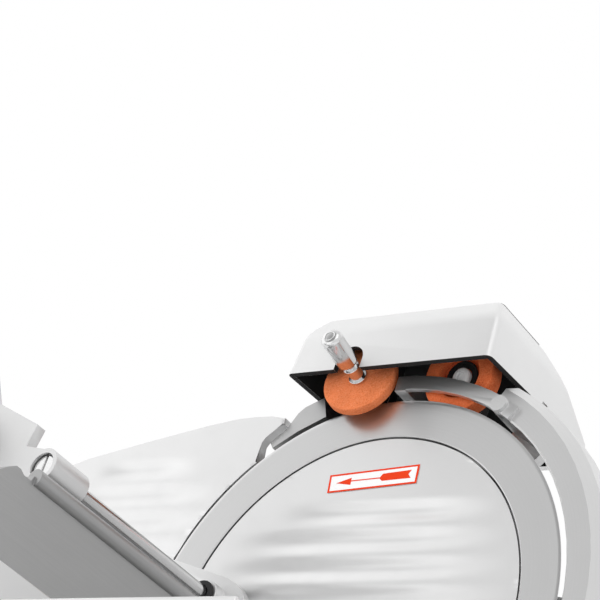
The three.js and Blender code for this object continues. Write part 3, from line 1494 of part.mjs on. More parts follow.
// Everything that leans with the blade
const leaning = new THREE.Group();
leaning.applyMatrix4(leaningFrame);
leaning.add(
    piece('head_casting', headCasting(), 'castAluminium'),
    piece('blade_guard_ring', guardRing(), 'castAluminium'),
    piece('blade', blade(), 'platedSteel'),
    piece('blade_cover', bladeCover(), 'castAluminium'),
    piece('blade_spindle', spindle(), 'darkSteel'),
    piece('spindle_bearing_front', bearing(headPlateFront - 1), 'darkSteel'),
    piece('spindle_bearing_rear', bearing(headPlateFront - 1 - bearingWidth - bearingSpread), 'darkSteel'),
    piece('blade_pulley', bladePulley(), 'castAluminium'),
    piece('spindle_nut', spindleNut(), 'darkSteel'),
    piece('drive_belt', driveBelt(), 'rubber'),
    piece('belt_cover', beltCover(), 'castAluminium'),
    piece('cover_tie_rod', tieRod(), 'blackPlastic'),
    piece('slice_deflector', sliceDeflector(), 'platedSteel'),
    piece('gauge_plate', gaugePlate(), 'castAluminium'),
    piece('gauge_arm', gaugeArm(), 'castAluminium'),
    piece('gauge_guide_shaft', gaugeShaft(), 'platedSteel'),
    piece('carriage_tray', carriageTray(), 'castAluminium'),
    piece('carriage_wall', carriageWall(), 'anodisedGrey'),
    piece('thumb_guard', thumbGuard(), 'castAluminium'),
    piece('pusher_rod', bar(rodRadius, rodAcross, rodUp, rodInnerEnd, rodOuterEnd, 24), 'platedSteel'),
    piece('rod_seal', rodSeal(), 'rubber'),
    piece('rod_end_screw', rodScrew(), 'platedSteel'),
    piece('pusher_bush', pusherBush(), 'greyPlastic'),
    piece('pusher_arm', pusherArm(), 'castAluminium'),
    piece('pusher_teeth_plate', pusherTeeth(), 'platedSteel'),
    piece('pusher_knob', pusherKnob(), 'blackPlastic'),
    piece('carriage_handle', carriageHandle(), 'blackPlastic'),
    piece('tray_clamp_knob', trayKnob(), 'blackPlastic'),
    piece('sharpener_housing', sharpenerHousing(), 'castAluminium'),
    piece('sharpener_post', sharpenerPost(), 'platedSteel'),
    piece('sharpener_clamp_knob', clampKnob(), 'blackPlastic'),
);

// The motor turns about its own axis beside the blade's
const motor = new THREE.Group();
motor.position.set(motorAcross, motorUp, 0);
motor.add(
    piece('motor_body', motorBody(), 'greyPlastic'),
    piece('motor_rotor', motorRotor(), 'darkSteel'),
    piece('motor_pulley', motorPulley(), 'darkSteel'),
    piece('motor_bracket', motorBracket(), 'platedSteel'),
    piece('motor_cover', motorCover(), 'castAluminium'),
);
leaning.add(motor);

// The front stone leans to the edge's bevel and rides on its push pin
const truing = new THREE.Group();
truing.applyMatrix4(truingFrame());
truing.add(
    piece('truing_stone', truingStone(), 'stone'),
    piece('push_pin', pushPin(), 'platedSteel'),
    piece('push_pin_spring', pinSpring(), 'darkSteel'),
);
leaning.add(truing);

const grinding = new THREE.Group();
grinding.applyMatrix4(grindingFrame());
grinding.add(
    piece('grinding_stone', grindingStone(), 'stone'),
    piece('grinding_stone_screw', stoneScrew(), 'platedSteel'),
);
leaning.add(grinding);

// What stands level on the table
const slicer = new THREE.Group();
slicer.add(
    leaning,
    piece('base_casting', baseCasting(), 'castAluminium'),
    piece('base_bottom_plate', bottomPlate(), 'platedSteel'),
    piece('dial_shaft', dialShaft(), 'darkSteel'),
    piece('thickness_dial', thicknessDial(), 'blackPlastic'),
    piece('slide_rod', slideRod(), 'platedSteel'),
    piece('guide_rail', guideRail(), 'darkSteel'),
    piece('carriage_foot', carriageFoot(), 'castAluminium'),
    piece('slide_bush_front', slideBush(slideBlockCentre - slideBlockHalfLength), 'bronze'),
    piece('slide_bush_rear', slideBush(slideBlockCentre + slideBlockHalfLength - bushLength), 'bronze'),
    piece('switch_panel', switchPanel(), 'blackPlastic'),
    piece('on_button', pushButton(-buttonSpread), 'green'),
    piece('off_button', pushButton(buttonSpread), 'red'),
    piece('switch_block', switchBlock(), 'greyPlastic'),
    piece('run_capacitor', capacitor(), 'greyPlastic'),
    piece('cord_gland', cordGland(), 'blackPlastic'),
);
footPlaces().forEach(([x, y], i) => {
    const places = ['front_left', 'front_right', 'rear_left', 'rear_right'];
    const foot = piece(`rubber_foot_${places[i]}`, rubberFoot(), 'rubber');
    foot.position.set(x, y, 0);
    slicer.add(foot);
});

// The origin is the middle of the machine's outline, on the table
slicer.updateMatrixWorld(true);
const middle = new THREE.Box3().setFromObject(slicer).getCenter(new THREE.Vector3());
slicer.position.set(-middle.x, -middle.y, 0);
slicer.updateMatrixWorld(true);

export default slicer;
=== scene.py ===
import json
import math
import bmesh
import bpy
from mathutils import Matrix, Vector

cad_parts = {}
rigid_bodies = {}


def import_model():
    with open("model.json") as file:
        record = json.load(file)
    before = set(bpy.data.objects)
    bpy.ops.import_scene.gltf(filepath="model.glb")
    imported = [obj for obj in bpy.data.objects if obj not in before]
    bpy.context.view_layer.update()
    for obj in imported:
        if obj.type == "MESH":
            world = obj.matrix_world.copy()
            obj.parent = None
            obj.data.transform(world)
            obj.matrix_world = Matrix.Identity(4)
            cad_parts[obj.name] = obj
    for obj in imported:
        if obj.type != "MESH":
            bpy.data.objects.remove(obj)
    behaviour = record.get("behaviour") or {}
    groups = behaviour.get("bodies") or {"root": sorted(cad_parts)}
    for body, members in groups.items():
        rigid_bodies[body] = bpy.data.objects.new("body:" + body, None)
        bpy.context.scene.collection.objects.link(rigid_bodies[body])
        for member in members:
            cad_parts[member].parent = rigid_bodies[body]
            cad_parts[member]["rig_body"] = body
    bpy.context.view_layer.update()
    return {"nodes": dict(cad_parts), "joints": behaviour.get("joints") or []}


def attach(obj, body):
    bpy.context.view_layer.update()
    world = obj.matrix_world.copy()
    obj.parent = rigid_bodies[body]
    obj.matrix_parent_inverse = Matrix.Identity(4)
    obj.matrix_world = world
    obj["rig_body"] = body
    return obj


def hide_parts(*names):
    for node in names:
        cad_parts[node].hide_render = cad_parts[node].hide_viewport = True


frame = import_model()

# The view: a long lens from the carriage side, a little behind the blade and level with its centre.
# Most of the machine leans back with the blade, so its places are given in millimetres from the
# blade's centre: across runs away from the operator, up climbs in the blade's plane, out is its axis.
mm = 0.001
blade_joint = next(j for j in frame["joints"] if j["name"] == "blade_spin")
blade_centre = Vector(blade_joint["pos_m"])
blade_axis = Vector(blade_joint["axis"]).normalized()
across_axis = Vector((0, 1, 0))
up_axis = blade_axis.cross(across_axis).normalized()


def leaning_frame(across=0.0, up=0.0, out=0.0, tilt=0.0, swing=0.0):
    axes = Matrix((across_axis, up_axis, blade_axis)).transposed()
    place = blade_centre + axes @ (Vector((across, up, out)) * mm)
    turn = Matrix.Rotation(math.radians(tilt), 3, "X") @ Matrix.Rotation(math.radians(swing), 3, "Y")
    return Matrix.Translation(place) @ (axes @ turn).to_4x4() @ Matrix.Scale(mm, 4)


def linked(name, data):
    """A new object in the scene."""
    thing = bpy.data.objects.new(name, data)
    bpy.context.scene.collection.objects.link(thing)
    return thing


lens_mm = 124.58
sensor_mm = 36
nearest, farthest = 0.02, 30
camera_offset = Vector((0.825846, 0.627535, -0.006077))
view_heading, view_rise, view_roll = 38.203, -8.982, -0.0323
camera = linked("camera", bpy.data.cameras.new("camera"))
camera.data.sensor_width = sensor_mm
camera.data.lens = lens_mm
camera.data.clip_start = nearest
camera.data.clip_end = farthest
camera.matrix_world = Matrix.Translation(blade_centre + camera_offset)
for degrees, axis in ((90 + view_heading, "Z"), (90 - view_rise, "X"), (view_roll, "Z")):
    camera.matrix_world = camera.matrix_world @ Matrix.Rotation(math.radians(degrees), 4, axis)
bpy.context.scene.camera = camera
bpy.context.scene.view_settings.view_transform = "Standard"


# Base casting: one aluminium sand casting with its sides ground, satin polished and clear anodised.
# The bottom plate closes it, and four rubber feet are pressed into it.
def linear(code):
    parts = [int(code[i:i + 2], 16) / 255 for i in (1, 3, 5)]
    return [c / 12.92 if c <= 0.04045 else ((c + 0.055) / 1.055) ** 2.4 for c in parts] + [1.0]


def add(tree, kind, sockets=None, **settings):
    node = tree.nodes.new(kind)
    for name, value in settings.items():
        setattr(node, name, value)
    for name, value in (sockets or {}).items():
        if isinstance(value, bpy.types.NodeSocket):
            tree.links.new(value, node.inputs[name])
        else:
            node.inputs[name].default_value = value
    return node


def new_material(name):
    material = bpy.data.materials.new(name)
    material.use_nodes = True
    tree = material.node_tree
    tree.nodes.clear()
    place = add(tree, "ShaderNodeTexCoord").outputs["Object"]
    return material, tree, place


def close_material(tree, sockets):
    shader = add(tree, "ShaderNodeBsdfPrincipled", sockets)
    add(tree, "ShaderNodeOutputMaterial", {"Surface": shader.outputs["BSDF"]})


def polished_casting(name, light, dark, gloss, cloud_mm=45, grain_mm=0.9, grain=0.05):
    """Cast aluminium, satin polished and anodised: cloudy near-white grey with a faint skin."""
    material, tree, place = new_material(name)
    cloud = add(tree, "ShaderNodeTexNoise", {"Vector": place, "Scale": 1 / (cloud_mm * mm),
                                             "Detail": 3.0, "Roughness": 0.55})
    tone = add(tree, "ShaderNodeMix", {"Factor": cloud.outputs["Fac"], "A": linear(light),
                                       "B": linear(dark)}, data_type="RGBA")
    skin = add(tree, "ShaderNodeTexNoise", {"Vector": place, "Scale": 1 / (grain_mm * mm), "Detail": 2.0})
    smear = add(tree, "ShaderNodeTexNoise", {"Vector": place, "Scale": 1 / (9 * mm), "Detail": 4.0})
    rough = add(tree, "ShaderNodeMapRange", {"Value": smear.outputs["Fac"], "To Min": gloss - 0.05,
                                             "To Max": gloss + 0.07})
    bump = add(tree, "ShaderNodeBump", {"Height": skin.outputs["Fac"], "Strength": grain,
                                        "Distance": 0.05 * mm})
    close_material(tree, {"Base Color": tone.outputs["Result"], "Metallic": 1.0,
                          "Roughness": rough.outputs["Result"], "Normal": bump.outputs["Normal"]})
    return material


weld_mm = 0.002
flat_degrees = 0.6
edge_degrees = 32


def merged_copy(source):
    """A solid's mesh with its points welded and its flat facets joined."""
    shape = bmesh.new()
    shape.from_mesh(source.data)
    bmesh.ops.remove_doubles(shape, verts=shape.verts, dist=weld_mm * mm)
    bmesh.ops.dissolve_limit(shape, angle_limit=math.radians(flat_degrees), verts=shape.verts,
                             edges=shape.edges)
    return shape


def piece_from(shape, name, *materials):
    """An object that holds a finished shape."""
    mesh = bpy.data.meshes.new(name)
    shape.to_mesh(mesh)
    shape.free()
    for material in materials:
        mesh.materials.append(material)
    return linked(name, mesh)


def dressed(node, material, edge=0.8, steps=2, slot="cast"):
    """A copy of a solid with its facets joined and its edges broken as a maker would."""
    source = frame["nodes"][node]
    piece = piece_from(merged_copy(source), node + "_finished", material)
    broken_edges(piece, edge, steps, edge_degrees)
    smoothed(piece, edge_degrees)
    return settle(piece, source["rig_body"], slot, node)


def broken_edges(piece, width_mm, steps, degrees):
    """Bevels the sharp edges; the new faces take the first material."""
    bevel = piece.modifiers.new("broken edge", "BEVEL")
    bevel.width = width_mm * mm
    bevel.segments = steps
    bevel.limit_method = "ANGLE"
    bevel.angle_limit = math.radians(degrees)
    bevel.material = 0


def smoothed(piece, degrees):
    for face in piece.data.polygons:
        face.use_smooth = True
    piece.data.set_sharp_from_angle(angle=math.radians(degrees))


def settle(piece, body, slot, *nodes):
    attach(piece, body)
    if nodes:
        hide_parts(*nodes)
    return piece


def painted_on(material, *nodes):
    for node in nodes:
        solid = frame["nodes"][node]
        solid.data.materials.clear()
        solid.data.materials.append(material)


base_metal = polished_casting("satin_anodised_sand_casting", "#dfdfdf", "#d3d3d3", gloss=0.40, cloud_mm=60,
                              grain_mm=1.2, grain=0.12)
dressed("base_casting", base_metal, edge=1.0)

# Bottom plate: pressed steel sheet that closes the base, zinc plated, so it is cloudy and dull.
# Six screws hold it from below.
plate_metal = polished_casting("zinc_plated_sheet", "#babbbc", "#a2a3a4", gloss=0.34, cloud_mm=12,
                               grain_mm=0.5, grain=0.03)
dressed("base_bottom_plate", plate_metal, edge=0.3, steps=1, slot="steel")


# Rubber feet: four feet moulded in black rubber, pressed into the base casting by their stems.
# Rubber looks matt and a little dusty, with a fine pitted skin.
def moulded(name, light, dark, gloss, grain_mm, depth):
    """Moulded plastic or rubber: one colour with slight tone drift and the tool's spark-eroded skin."""
    material, tree, place = new_material(name)
    drift = add(tree, "ShaderNodeTexNoise", {"Vector": place, "Scale": 1 / (14 * mm), "Detail": 3.0})
    tone = add(tree, "ShaderNodeMix", {"Factor": drift.outputs["Fac"], "A": linear(light),
                                       "B": linear(dark)}, data_type="RGBA")
    skin = add(tree, "ShaderNodeTexVoronoi", {"Vector": place, "Scale": 1 / (grain_mm * mm)})
    bump = add(tree, "ShaderNodeBump", {"Height": skin.outputs["Distance"], "Strength": 0.35,
                                        "Distance": depth * mm})
    rough = add(tree, "ShaderNodeMapRange", {"Value": drift.outputs["Fac"], "To Min": gloss - 0.06,
                                             "To Max": gloss + 0.08})
    close_material(tree, {"Base Color": tone.outputs["Result"], "IOR": 1.5,
                          "Roughness": rough.outputs["Result"], "Normal": bump.outputs["Normal"]})
    return material


foot_rubber = moulded("moulded_black_rubber", "#2b2b2c", "#1d1d1e", gloss=0.78, grain_mm=1.1, depth=0.12)
for corner in ("front_left", "front_right", "rear_left", "rear_right"):
    dressed("rubber_foot_" + corner, foot_rubber, edge=1.2, steps=3, slot="rubber")

# Head casting: the aluminium sand casting that carries spindle, guard ring and sharpener.
# It is satin polished and anodised a little darker than the base.
head_metal = polished_casting("satin_anodised_head_casting", "#c6c6c6", "#b6b6b6", gloss=0.36, cloud_mm=30,
                              grain_mm=0.9, grain=0.08)
dressed("head_casting", head_metal, edge=0.7)

# Guard ring: turned and polished aluminium round the blade, its bridge passes in front of the rear
# stone. Fine turning lines run round the blade's axis.
def turned_metal(name, light, dark, gloss, centre, line_mm, depth_mm, cloud_mm=25, tint=0.5):
    """Metal turned or ground in rings round one axis: thin concentric lines, drawn coarse enough to show."""
    material, tree, place = new_material(name)
    arm = add(tree, "ShaderNodeVectorMath", {0: place, 1: centre}, operation="SUBTRACT")
    radius = add(tree, "ShaderNodeVectorMath", {0: arm.outputs["Vector"]}, operation="LENGTH")
    lines = add(tree, "ShaderNodeTexNoise", {"W": radius.outputs["Value"], "Scale": 1 / (line_mm * mm),
                                             "Detail": 3.0}, noise_dimensions="1D")
    cloud = add(tree, "ShaderNodeTexNoise", {"Vector": place, "Scale": 1 / (cloud_mm * mm), "Detail": 2.0})
    both = add(tree, "ShaderNodeMix", {"Factor": tint, "A": lines.outputs["Fac"],
                                       "B": cloud.outputs["Fac"]}, data_type="FLOAT")
    tone = add(tree, "ShaderNodeMix", {"Factor": both.outputs["Result"], "A": linear(light),
                                       "B": linear(dark)}, data_type="RGBA")
    rough = add(tree, "ShaderNodeMapRange", {"Value": lines.outputs["Fac"], "To Min": gloss - 0.04,
                                             "To Max": gloss + 0.05})
    bump = add(tree, "ShaderNodeBump", {"Height": lines.outputs["Fac"], "Strength": 0.25,
                                        "Distance": depth_mm * mm})
    close_material(tree, {"Base Color": tone.outputs["Result"], "Metallic": 1.0,
                          "Roughness": rough.outputs["Result"], "Normal": bump.outputs["Normal"]})
    return material


ring_metal = turned_metal("turned_anodised_ring", "#dadada", "#d2d2d2", gloss=0.34, centre=blade_centre,
                          line_mm=0.8, depth_mm=0.004)
dressed("blade_guard_ring", ring_metal, steps=3)


# Blade: hardened chrome steel, hollow ground, with the thin ground edge round its rim.
# The grinding lines run round the axis.
def turned(name, profile, place, material, sides=192, sharp=28.0):
    """A shape turned about the out axis of a frame from points of radius and height in millimetres."""
    shape = bmesh.new()
    rings = []
    for radius, height in profile:
        ring = []
        for i in range(sides if radius else 1):
            angle = 2 * math.pi * i / sides
            spot = Vector((radius * math.cos(angle), radius * math.sin(angle), height))
            ring.append(shape.verts.new(place @ spot))
        rings.append(ring)
    for one, other in zip(rings, rings[1:] + rings[:1]):
        if len(one) == len(other) == 1:
            continue
        for i in range(sides):
            k = (i + 1) % sides
            corners = [one[i % len(one)], one[k % len(one)], other[k % len(other)], other[i % len(other)]]
            # A ring on the axis is a single point, which counts once.
            shape.faces.new(list(dict.fromkeys(corners)))
    bmesh.ops.recalc_face_normals(shape, faces=shape.faces)
    piece = piece_from(shape, name, material)
    smoothed(piece, sharp)
    return piece


blade_steel = turned_metal("ground_chrome_steel", "#d2d2d2", "#cacaca", gloss=0.30, centre=blade_centre,
                           line_mm=0.9, depth_mm=0.0006, cloud_mm=60)
blade_radius = 125
blade_ring_inner = 103.4
blade_profile = [
    (16, -15), (62, -15), (98, -10.5), (106, -6.5), (117.5, -2.6), (blade_radius - 0.05, -0.25),
    (blade_radius, -0.12), (blade_radius - 0.3, 0), (blade_radius - 1.9, -0.04),
    (115, -0.14), (blade_ring_inner + 0.6, -0.3), (blade_ring_inner, -0.7), (blade_ring_inner, -4.6),
    (96, -7.2), (62, -12), (16, -12),
]
settle(turned("blade_ground", blade_profile, leaning_frame(), blade_steel), "blade_set", "plate", "blade")


# Blade cover: a cast aluminium disc that lies flush in the dished blade, polished and anodised.
# Soft ribs run across it and fade out before its edge, so that slices don't stick.
upward_share = 0.9
cut_hair = 1e-4
level_hair = 1e-3


def plate_in(shape, outline, back, front, place=Matrix()):
    """Adds a plate with straight sides to a shape and gives its front face."""
    low = [shape.verts.new(place @ Vector((x, y, back))) for x, y in outline]
    high = [shape.verts.new(place @ Vector((x, y, front))) for x, y in outline]
    top = shape.faces.new(high)
    shape.faces.new(list(reversed(low)))
    count = len(outline)
    for i in range(count):
        k = (i + 1) % count
        shape.faces.new((low[i], low[k], high[k], high[i]))
    return top


def ribbed_plate(name, outline, back, front, edge, place, material, relief, step_across, step_up):
    """A plate with a round edge whose front face is drawn down by soft troughs."""
    shape = bmesh.new()
    top = plate_in(shape, outline, back, front)
    bmesh.ops.bevel(shape, geom=list(top.edges), offset=edge, segments=3, profile=0.5, affect="EDGES")
    xs = [x for x, _ in outline]
    ys = [y for _, y in outline]
    rows = (min(ys), max(ys), step_up, Vector((0, 1, 0)))
    columns = (min(xs), max(xs), step_across, Vector((1, 0, 0)))
    for low_side, high_side, step, axis in (rows, columns):
        cuts = int((high_side - low_side) / step)
        for i in range(1, cuts):
            level = low_side + (high_side - low_side) * i / cuts
            faces = [f for f in shape.faces if f.normal.z > upward_share]
            edges = list({e for f in faces for e in f.edges})
            verts = list({v for f in faces for v in f.verts})
            bmesh.ops.bisect_plane(shape, geom=verts + edges + faces, dist=cut_hair,
                                   plane_co=axis * level, plane_no=axis)
            shape.normal_update()
    for vert in shape.verts:
        if vert.co.z > front - level_hair:
            vert.co.z -= relief(vert.co.x, vert.co.y)
    bmesh.ops.transform(shape, matrix=place, verts=shape.verts)
    bmesh.ops.recalc_face_normals(shape, faces=shape.faces)
    piece = piece_from(shape, name, material)
    smoothed(piece, degrees=40.0)
    return piece


full_share = 0.3


def trough(x, y, centre, height, reach, half_height, depth):
    """Depth of one soft trough with faded ends at a point."""
    rise = (y - height) / half_height
    along = abs(x - centre) / reach
    if abs(rise) >= 1 or along >= 1:
        return 0.0
    ending = max(0.0, (along - full_share) / (1 - full_share))
    fade = 0.5 + 0.5 * math.cos(math.pi * ending)
    return depth * fade * (0.5 + 0.5 * math.cos(math.pi * rise))


cover_radius = 102.3
cover_front = -0.9
cover_thick = 3
cover_hollow = 0.5
cover_rib_count = 9
cover_rib_top = 59.5
cover_rib_pitch = 16.3
cover_rib_half_height = 8.1
cover_rib_depth = 1.6
cover_rib_margin = 4
rim_margin = 6.4
top_rib_reach = 72
top_rib_centre = 9
cover_troughs = []
for i in range(cover_rib_count):
    height = cover_rib_top - cover_rib_pitch * i
    chord = math.sqrt(cover_radius ** 2 - (abs(height) + rim_margin) ** 2)
    reach = (min(top_rib_reach, chord) if i == 0 else chord) - cover_rib_margin
    cover_troughs.append((top_rib_centre if i == 0 else 0, height, reach))


def cover_relief(x, y):
    """The cover's face is a little hollow, and its ribs are what the troughs leave."""
    hollow = cover_hollow * (1 - (x * x + y * y) / cover_radius ** 2)
    ribs = sum(trough(x, y, centre, height, reach, cover_rib_half_height, cover_rib_depth)
               for centre, height, reach in cover_troughs)
    return hollow + ribs


cover_metal = polished_casting("polished_anodised_cover", "#e6e6e6", "#dfdfdf", gloss=0.32, cloud_mm=70,
                               grain_mm=0.9, grain=0.05)
rim_steps = 240
rim_turns = [2 * math.pi * i / rim_steps for i in range(rim_steps)]
circle = [(cover_radius * math.cos(angle), cover_radius * math.sin(angle)) for angle in rim_turns]
cover = ribbed_plate("blade_cover_ribbed", circle, cover_front - cover_thick, cover_front, edge=1.0,
                     place=leaning_frame(), material=cover_metal, relief=cover_relief,
                     step_across=5.0, step_up=1.5)
settle(cover, "base", "cast", "blade_cover")
boss_profile = [(0, -11.4), (8.2, -11.4), (9, -10.6), (9, -3.5), (0, -3.5)]
settle(turned("blade_cover_boss", boss_profile, leaning_frame(), cover_metal, sides=64), "base", "cast")

# Rotation arrow: a printed vinyl mark on the cover, white with an orange frame and a dart.
# Its ink is a little glossy and lies a hair above the metal.
def printed(name, code, gloss):
    """Screen-printed vinyl: even ink with a faint mesh texture."""
    material, tree, place = new_material(name)
    mesh_print = add(tree, "ShaderNodeTexNoise", {"Vector": place, "Scale": 1 / (0.5 * mm), "Detail": 2.0})
    tone = add(tree, "ShaderNodeMapRange", {"Value": mesh_print.outputs["Fac"], "To Min": 0.94,
                                            "To Max": 1.06})
    ink = add(tree, "ShaderNodeHueSaturation", {"Color": linear(code), "Value": tone.outputs["Result"]})
    close_material(tree, {"Base Color": ink.outputs["Color"], "Roughness": gloss, "IOR": 1.45,
                          "Specular IOR Level": 0.25})
    return material


vinyl_thick = 0.05


def flat_marks(name, shapes, level, place, material):
    """Thin closed plates cut to outlines in a frame's plane."""
    shape = bmesh.new()
    for points in shapes:
        plate_in(shape, points, level - vinyl_thick, level, place)
    bmesh.ops.recalc_face_normals(shape, faces=shape.faces)
    return piece_from(shape, name, material)


label_outer = [(-30.8, 71.5), (24.7, 74.8), (23.8, 85.9), (-32.3, 82.3)]
label_inner = [(-29.7, 72.6), (23.4, 75.8), (22.6, 84.8), (-31.0, 81.3)]
frame_bars = [[label_outer[i], label_outer[(i + 1) % 4], label_inner[(i + 1) % 4], label_inner[i]]
              for i in range(4)]
dart = [
    [(-26.8, 77.2), (-17.1, 75.8), (-17.6, 80.1)],
    [(-17.3, 77.8), (0.6, 78.7), (0.6, 79.4), (-17.4, 78.5)],
    [(0.3, 78.9), (2.5, 77.2), (20.2, 78.1), (18.2, 80.4)],
    [(0.3, 78.9), (18.2, 80.4), (19.6, 82.9), (2.0, 81.5)],
]
ground_level = -0.86
ink_level = -0.80
label_ground = flat_marks("arrow_label_ground", [label_outer], ground_level, leaning_frame(),
                          printed("white_printed_vinyl", "#f4f4f4", gloss=0.35))
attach(label_ground, "base")
label_ink = flat_marks("arrow_label_ink", frame_bars + dart, ink_level, leaning_frame(),
                       printed("orange_screen_print", "#e83a00", gloss=0.6))
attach(label_ink, "base")

# Spindle, bearings, pulleys, nut and motor parts: turned and ground steel, mostly out of sight.
# Concentric tool lines and thin oil tone them down. The motor's shell is enamelled grey, and the ribbed
# belt is matt black rubber.
spindle_steel = turned_metal("turned_spindle_steel", "#a7a9ab", "#8c8f92", gloss=0.3, centre=blade_centre,
                             line_mm=0.9, depth_mm=0.02)
for node in ("blade_spindle", "spindle_bearing_front", "spindle_bearing_rear", "spindle_nut"):
    dressed(node, spindle_steel, edge=0.3, steps=1, slot="steel")
pulley_metal = turned_metal("turned_cast_pulley", "#b9bbbd", "#a3a6a9", gloss=0.36, centre=blade_centre,
                            line_mm=1.2, depth_mm=0.03)
dressed("blade_pulley", pulley_metal, edge=0.3, steps=1)
motor_across, motor_up = 94, -8
motor_centre = leaning_frame(motor_across, motor_up, out=-57).translation
motor_steel = turned_metal("turned_motor_steel", "#9c9ea0", "#7f8285", gloss=0.32, centre=motor_centre,
                           line_mm=0.9, depth_mm=0.02)
for node in ("motor_rotor", "motor_pulley"):
    dressed(node, motor_steel, edge=0.3, steps=1, slot="steel")
dressed("motor_bracket", plate_metal, edge=0.4, steps=1, slot="steel")
motor_shell = moulded("grey_enamelled_motor_shell", "#9a9b99", "#8a8b89", gloss=0.45, grain_mm=1.4,
                      depth=0.05)
dressed("motor_body", motor_shell, slot="grey")
belt_rubber = moulded("ribbed_belt_rubber", "#262627", "#1a1a1b", gloss=0.7, grain_mm=0.8, depth=0.08)
painted_on(belt_rubber, "drive_belt")

# Belt cover and motor cover: thin aluminium castings behind the head, held by pan-head screws.
# The same tree of nodes sets the screws of the bottom plate and of the switch panel.
belt_cover = dressed("belt_cover", base_metal, edge=1.6, steps=3)
lowered_share = 0.38
lowered_start, lowered_run = 30, 60
to_leaning = leaning_frame().inverted()
# The cover's end over the motor is drawn down towards the motor's axis.
for vert in belt_cover.data.vertices:
    spot = to_leaning @ vert.co
    reached = min(1, max(0, (spot.x - lowered_start) / lowered_run))
    if spot.y > motor_up:
        spot.y = motor_up + (spot.y - motor_up) * (1 - lowered_share * reached)
        vert.co = leaning_frame() @ spot
dressed("motor_cover", base_metal, edge=1.0)


def new_layout(name, inputs):
    """An empty tree of geometry nodes, and the sockets of its named inputs."""
    tree = bpy.data.node_groups.new(name, "GeometryNodeTree")
    for label, kind in inputs:
        tree.interface.new_socket(label, in_out="INPUT", socket_type=kind)
    tree.interface.new_socket("Geometry", in_out="OUTPUT", socket_type="NodeSocketGeometry")
    return tree, tree.nodes.new("NodeGroupInput").outputs


def close_layout(tree, instances, material):
    plain = add(tree, "GeometryNodeRealizeInstances", {"Geometry": instances})
    coloured = add(tree, "GeometryNodeSetMaterial", {"Geometry": plain.outputs["Geometry"],
                                                     "Material": material})
    end = tree.nodes.new("NodeGroupOutput")
    tree.links.new(coloured.outputs["Geometry"], end.inputs["Geometry"])


def screw_layout():
    """Pan-head screws with a cross recess on the points of a grid, each turned its own way."""
    tree, given = new_layout("pan_head_screws", [
        ("Size Across", "NodeSocketFloat"), ("Size Along", "NodeSocketFloat"),
        ("Count Across", "NodeSocketInt"), ("Count Along", "NodeSocketInt"),
        ("Head Radius", "NodeSocketFloat"), ("Material", "NodeSocketMaterial")])
    grid = add(tree, "GeometryNodeMeshGrid", {
        "Size X": given["Size Across"], "Size Y": given["Size Along"],
        "Vertices X": given["Count Across"], "Vertices Y": given["Count Along"]})
    spots = add(tree, "GeometryNodeMeshToPoints", {"Mesh": grid.outputs["Mesh"]})
    sizes = {}
    for part, share in (("top", 0.72), ("height", 0.62), ("slot", 0.3), ("reach", 1.05), ("sink", 0.5)):
        sizes[part] = add(tree, "ShaderNodeMath", {0: given["Head Radius"], 1: share},
                          operation="MULTIPLY").outputs[0]
    head = add(tree, "GeometryNodeMeshCone", {
        "Vertices": 28, "Radius Top": sizes["top"], "Radius Bottom": given["Head Radius"],
        "Depth": sizes["height"]})
    cross = []
    for wide, long in (("slot", "reach"), ("reach", "slot")):
        size = add(tree, "ShaderNodeCombineXYZ", {"X": sizes[wide], "Y": sizes[long], "Z": sizes["sink"]})
        lift = add(tree, "ShaderNodeCombineXYZ", {"X": 0.0, "Y": 0.0, "Z": sizes["height"]})
        bar = add(tree, "GeometryNodeMeshCube", {"Size": size.outputs["Vector"]})
        cross.append(add(tree, "GeometryNodeTransform", {"Geometry": bar.outputs["Mesh"],
                                                         "Translation": lift.outputs["Vector"]}))
    cut = add(tree, "GeometryNodeMeshBoolean", {"Mesh 1": head.outputs["Mesh"]}, operation="DIFFERENCE")
    for bar in cross:
        tree.links.new(bar.outputs["Geometry"], cut.inputs["Mesh 2"])
    turns = add(tree, "FunctionNodeRandomValue", {"Seed": 7}, data_type="FLOAT")
    spin = add(tree, "ShaderNodeMath", {0: turns.outputs[1], 1: math.pi / 2}, operation="MULTIPLY")
    facing = add(tree, "ShaderNodeCombineXYZ", {"X": 0.0, "Y": 0.0, "Z": spin.outputs[0]})
    placed = add(tree, "GeometryNodeInstanceOnPoints", {
        "Points": spots.outputs["Points"], "Instance": cut.outputs["Mesh"],
        "Rotation": facing.outputs["Vector"]})
    close_layout(tree, placed.outputs["Instances"], given["Material"])
    return tree


def laid_out(name, tree, values, place, sharp=30.0):
    """A plain mesh made by a tree of geometry nodes from named sizes, then set in its place."""
    holder = linked(name + "_layout", bpy.data.meshes.new(name + "_layout"))
    maker = holder.modifiers.new("layout", "NODES")
    maker.node_group = tree
    for socket in tree.interface.items_tree:
        if socket.in_out == "INPUT":
            maker[socket.identifier] = values[socket.name]
    bpy.context.view_layer.update()
    made = holder.evaluated_get(bpy.context.evaluated_depsgraph_get())
    mesh = bpy.data.meshes.new_from_object(made)
    holder.modifiers.remove(maker)
    bpy.data.objects.remove(holder)
    mesh.transform(place)
    mesh.name = name
    piece = linked(name, mesh)
    smoothed(piece, sharp)
    return piece


screw_steel = polished_casting("zinc_plated_screw", "#c4c5c7", "#aeb0b3", gloss=0.28, cloud_mm=6,
                               grain_mm=0.4, grain=0.03)
screw_tree = screw_layout()


def screws(name, place, across, along, count_across, count_along, head_radius):
    values = {"Size Across": across, "Size Along": along, "Count Across": count_across,
              "Count Along": count_along, "Head Radius": head_radius, "Material": screw_steel}
    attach(laid_out(name, screw_tree, values, place), "base")


def world_frame(x, y, z, turn_x=0.0):
    turned_over = Matrix.Rotation(math.radians(turn_x), 4, "X")
    return Matrix.Translation(Vector((x, y, z)) * mm) @ turned_over @ Matrix.Scale(mm, 4)


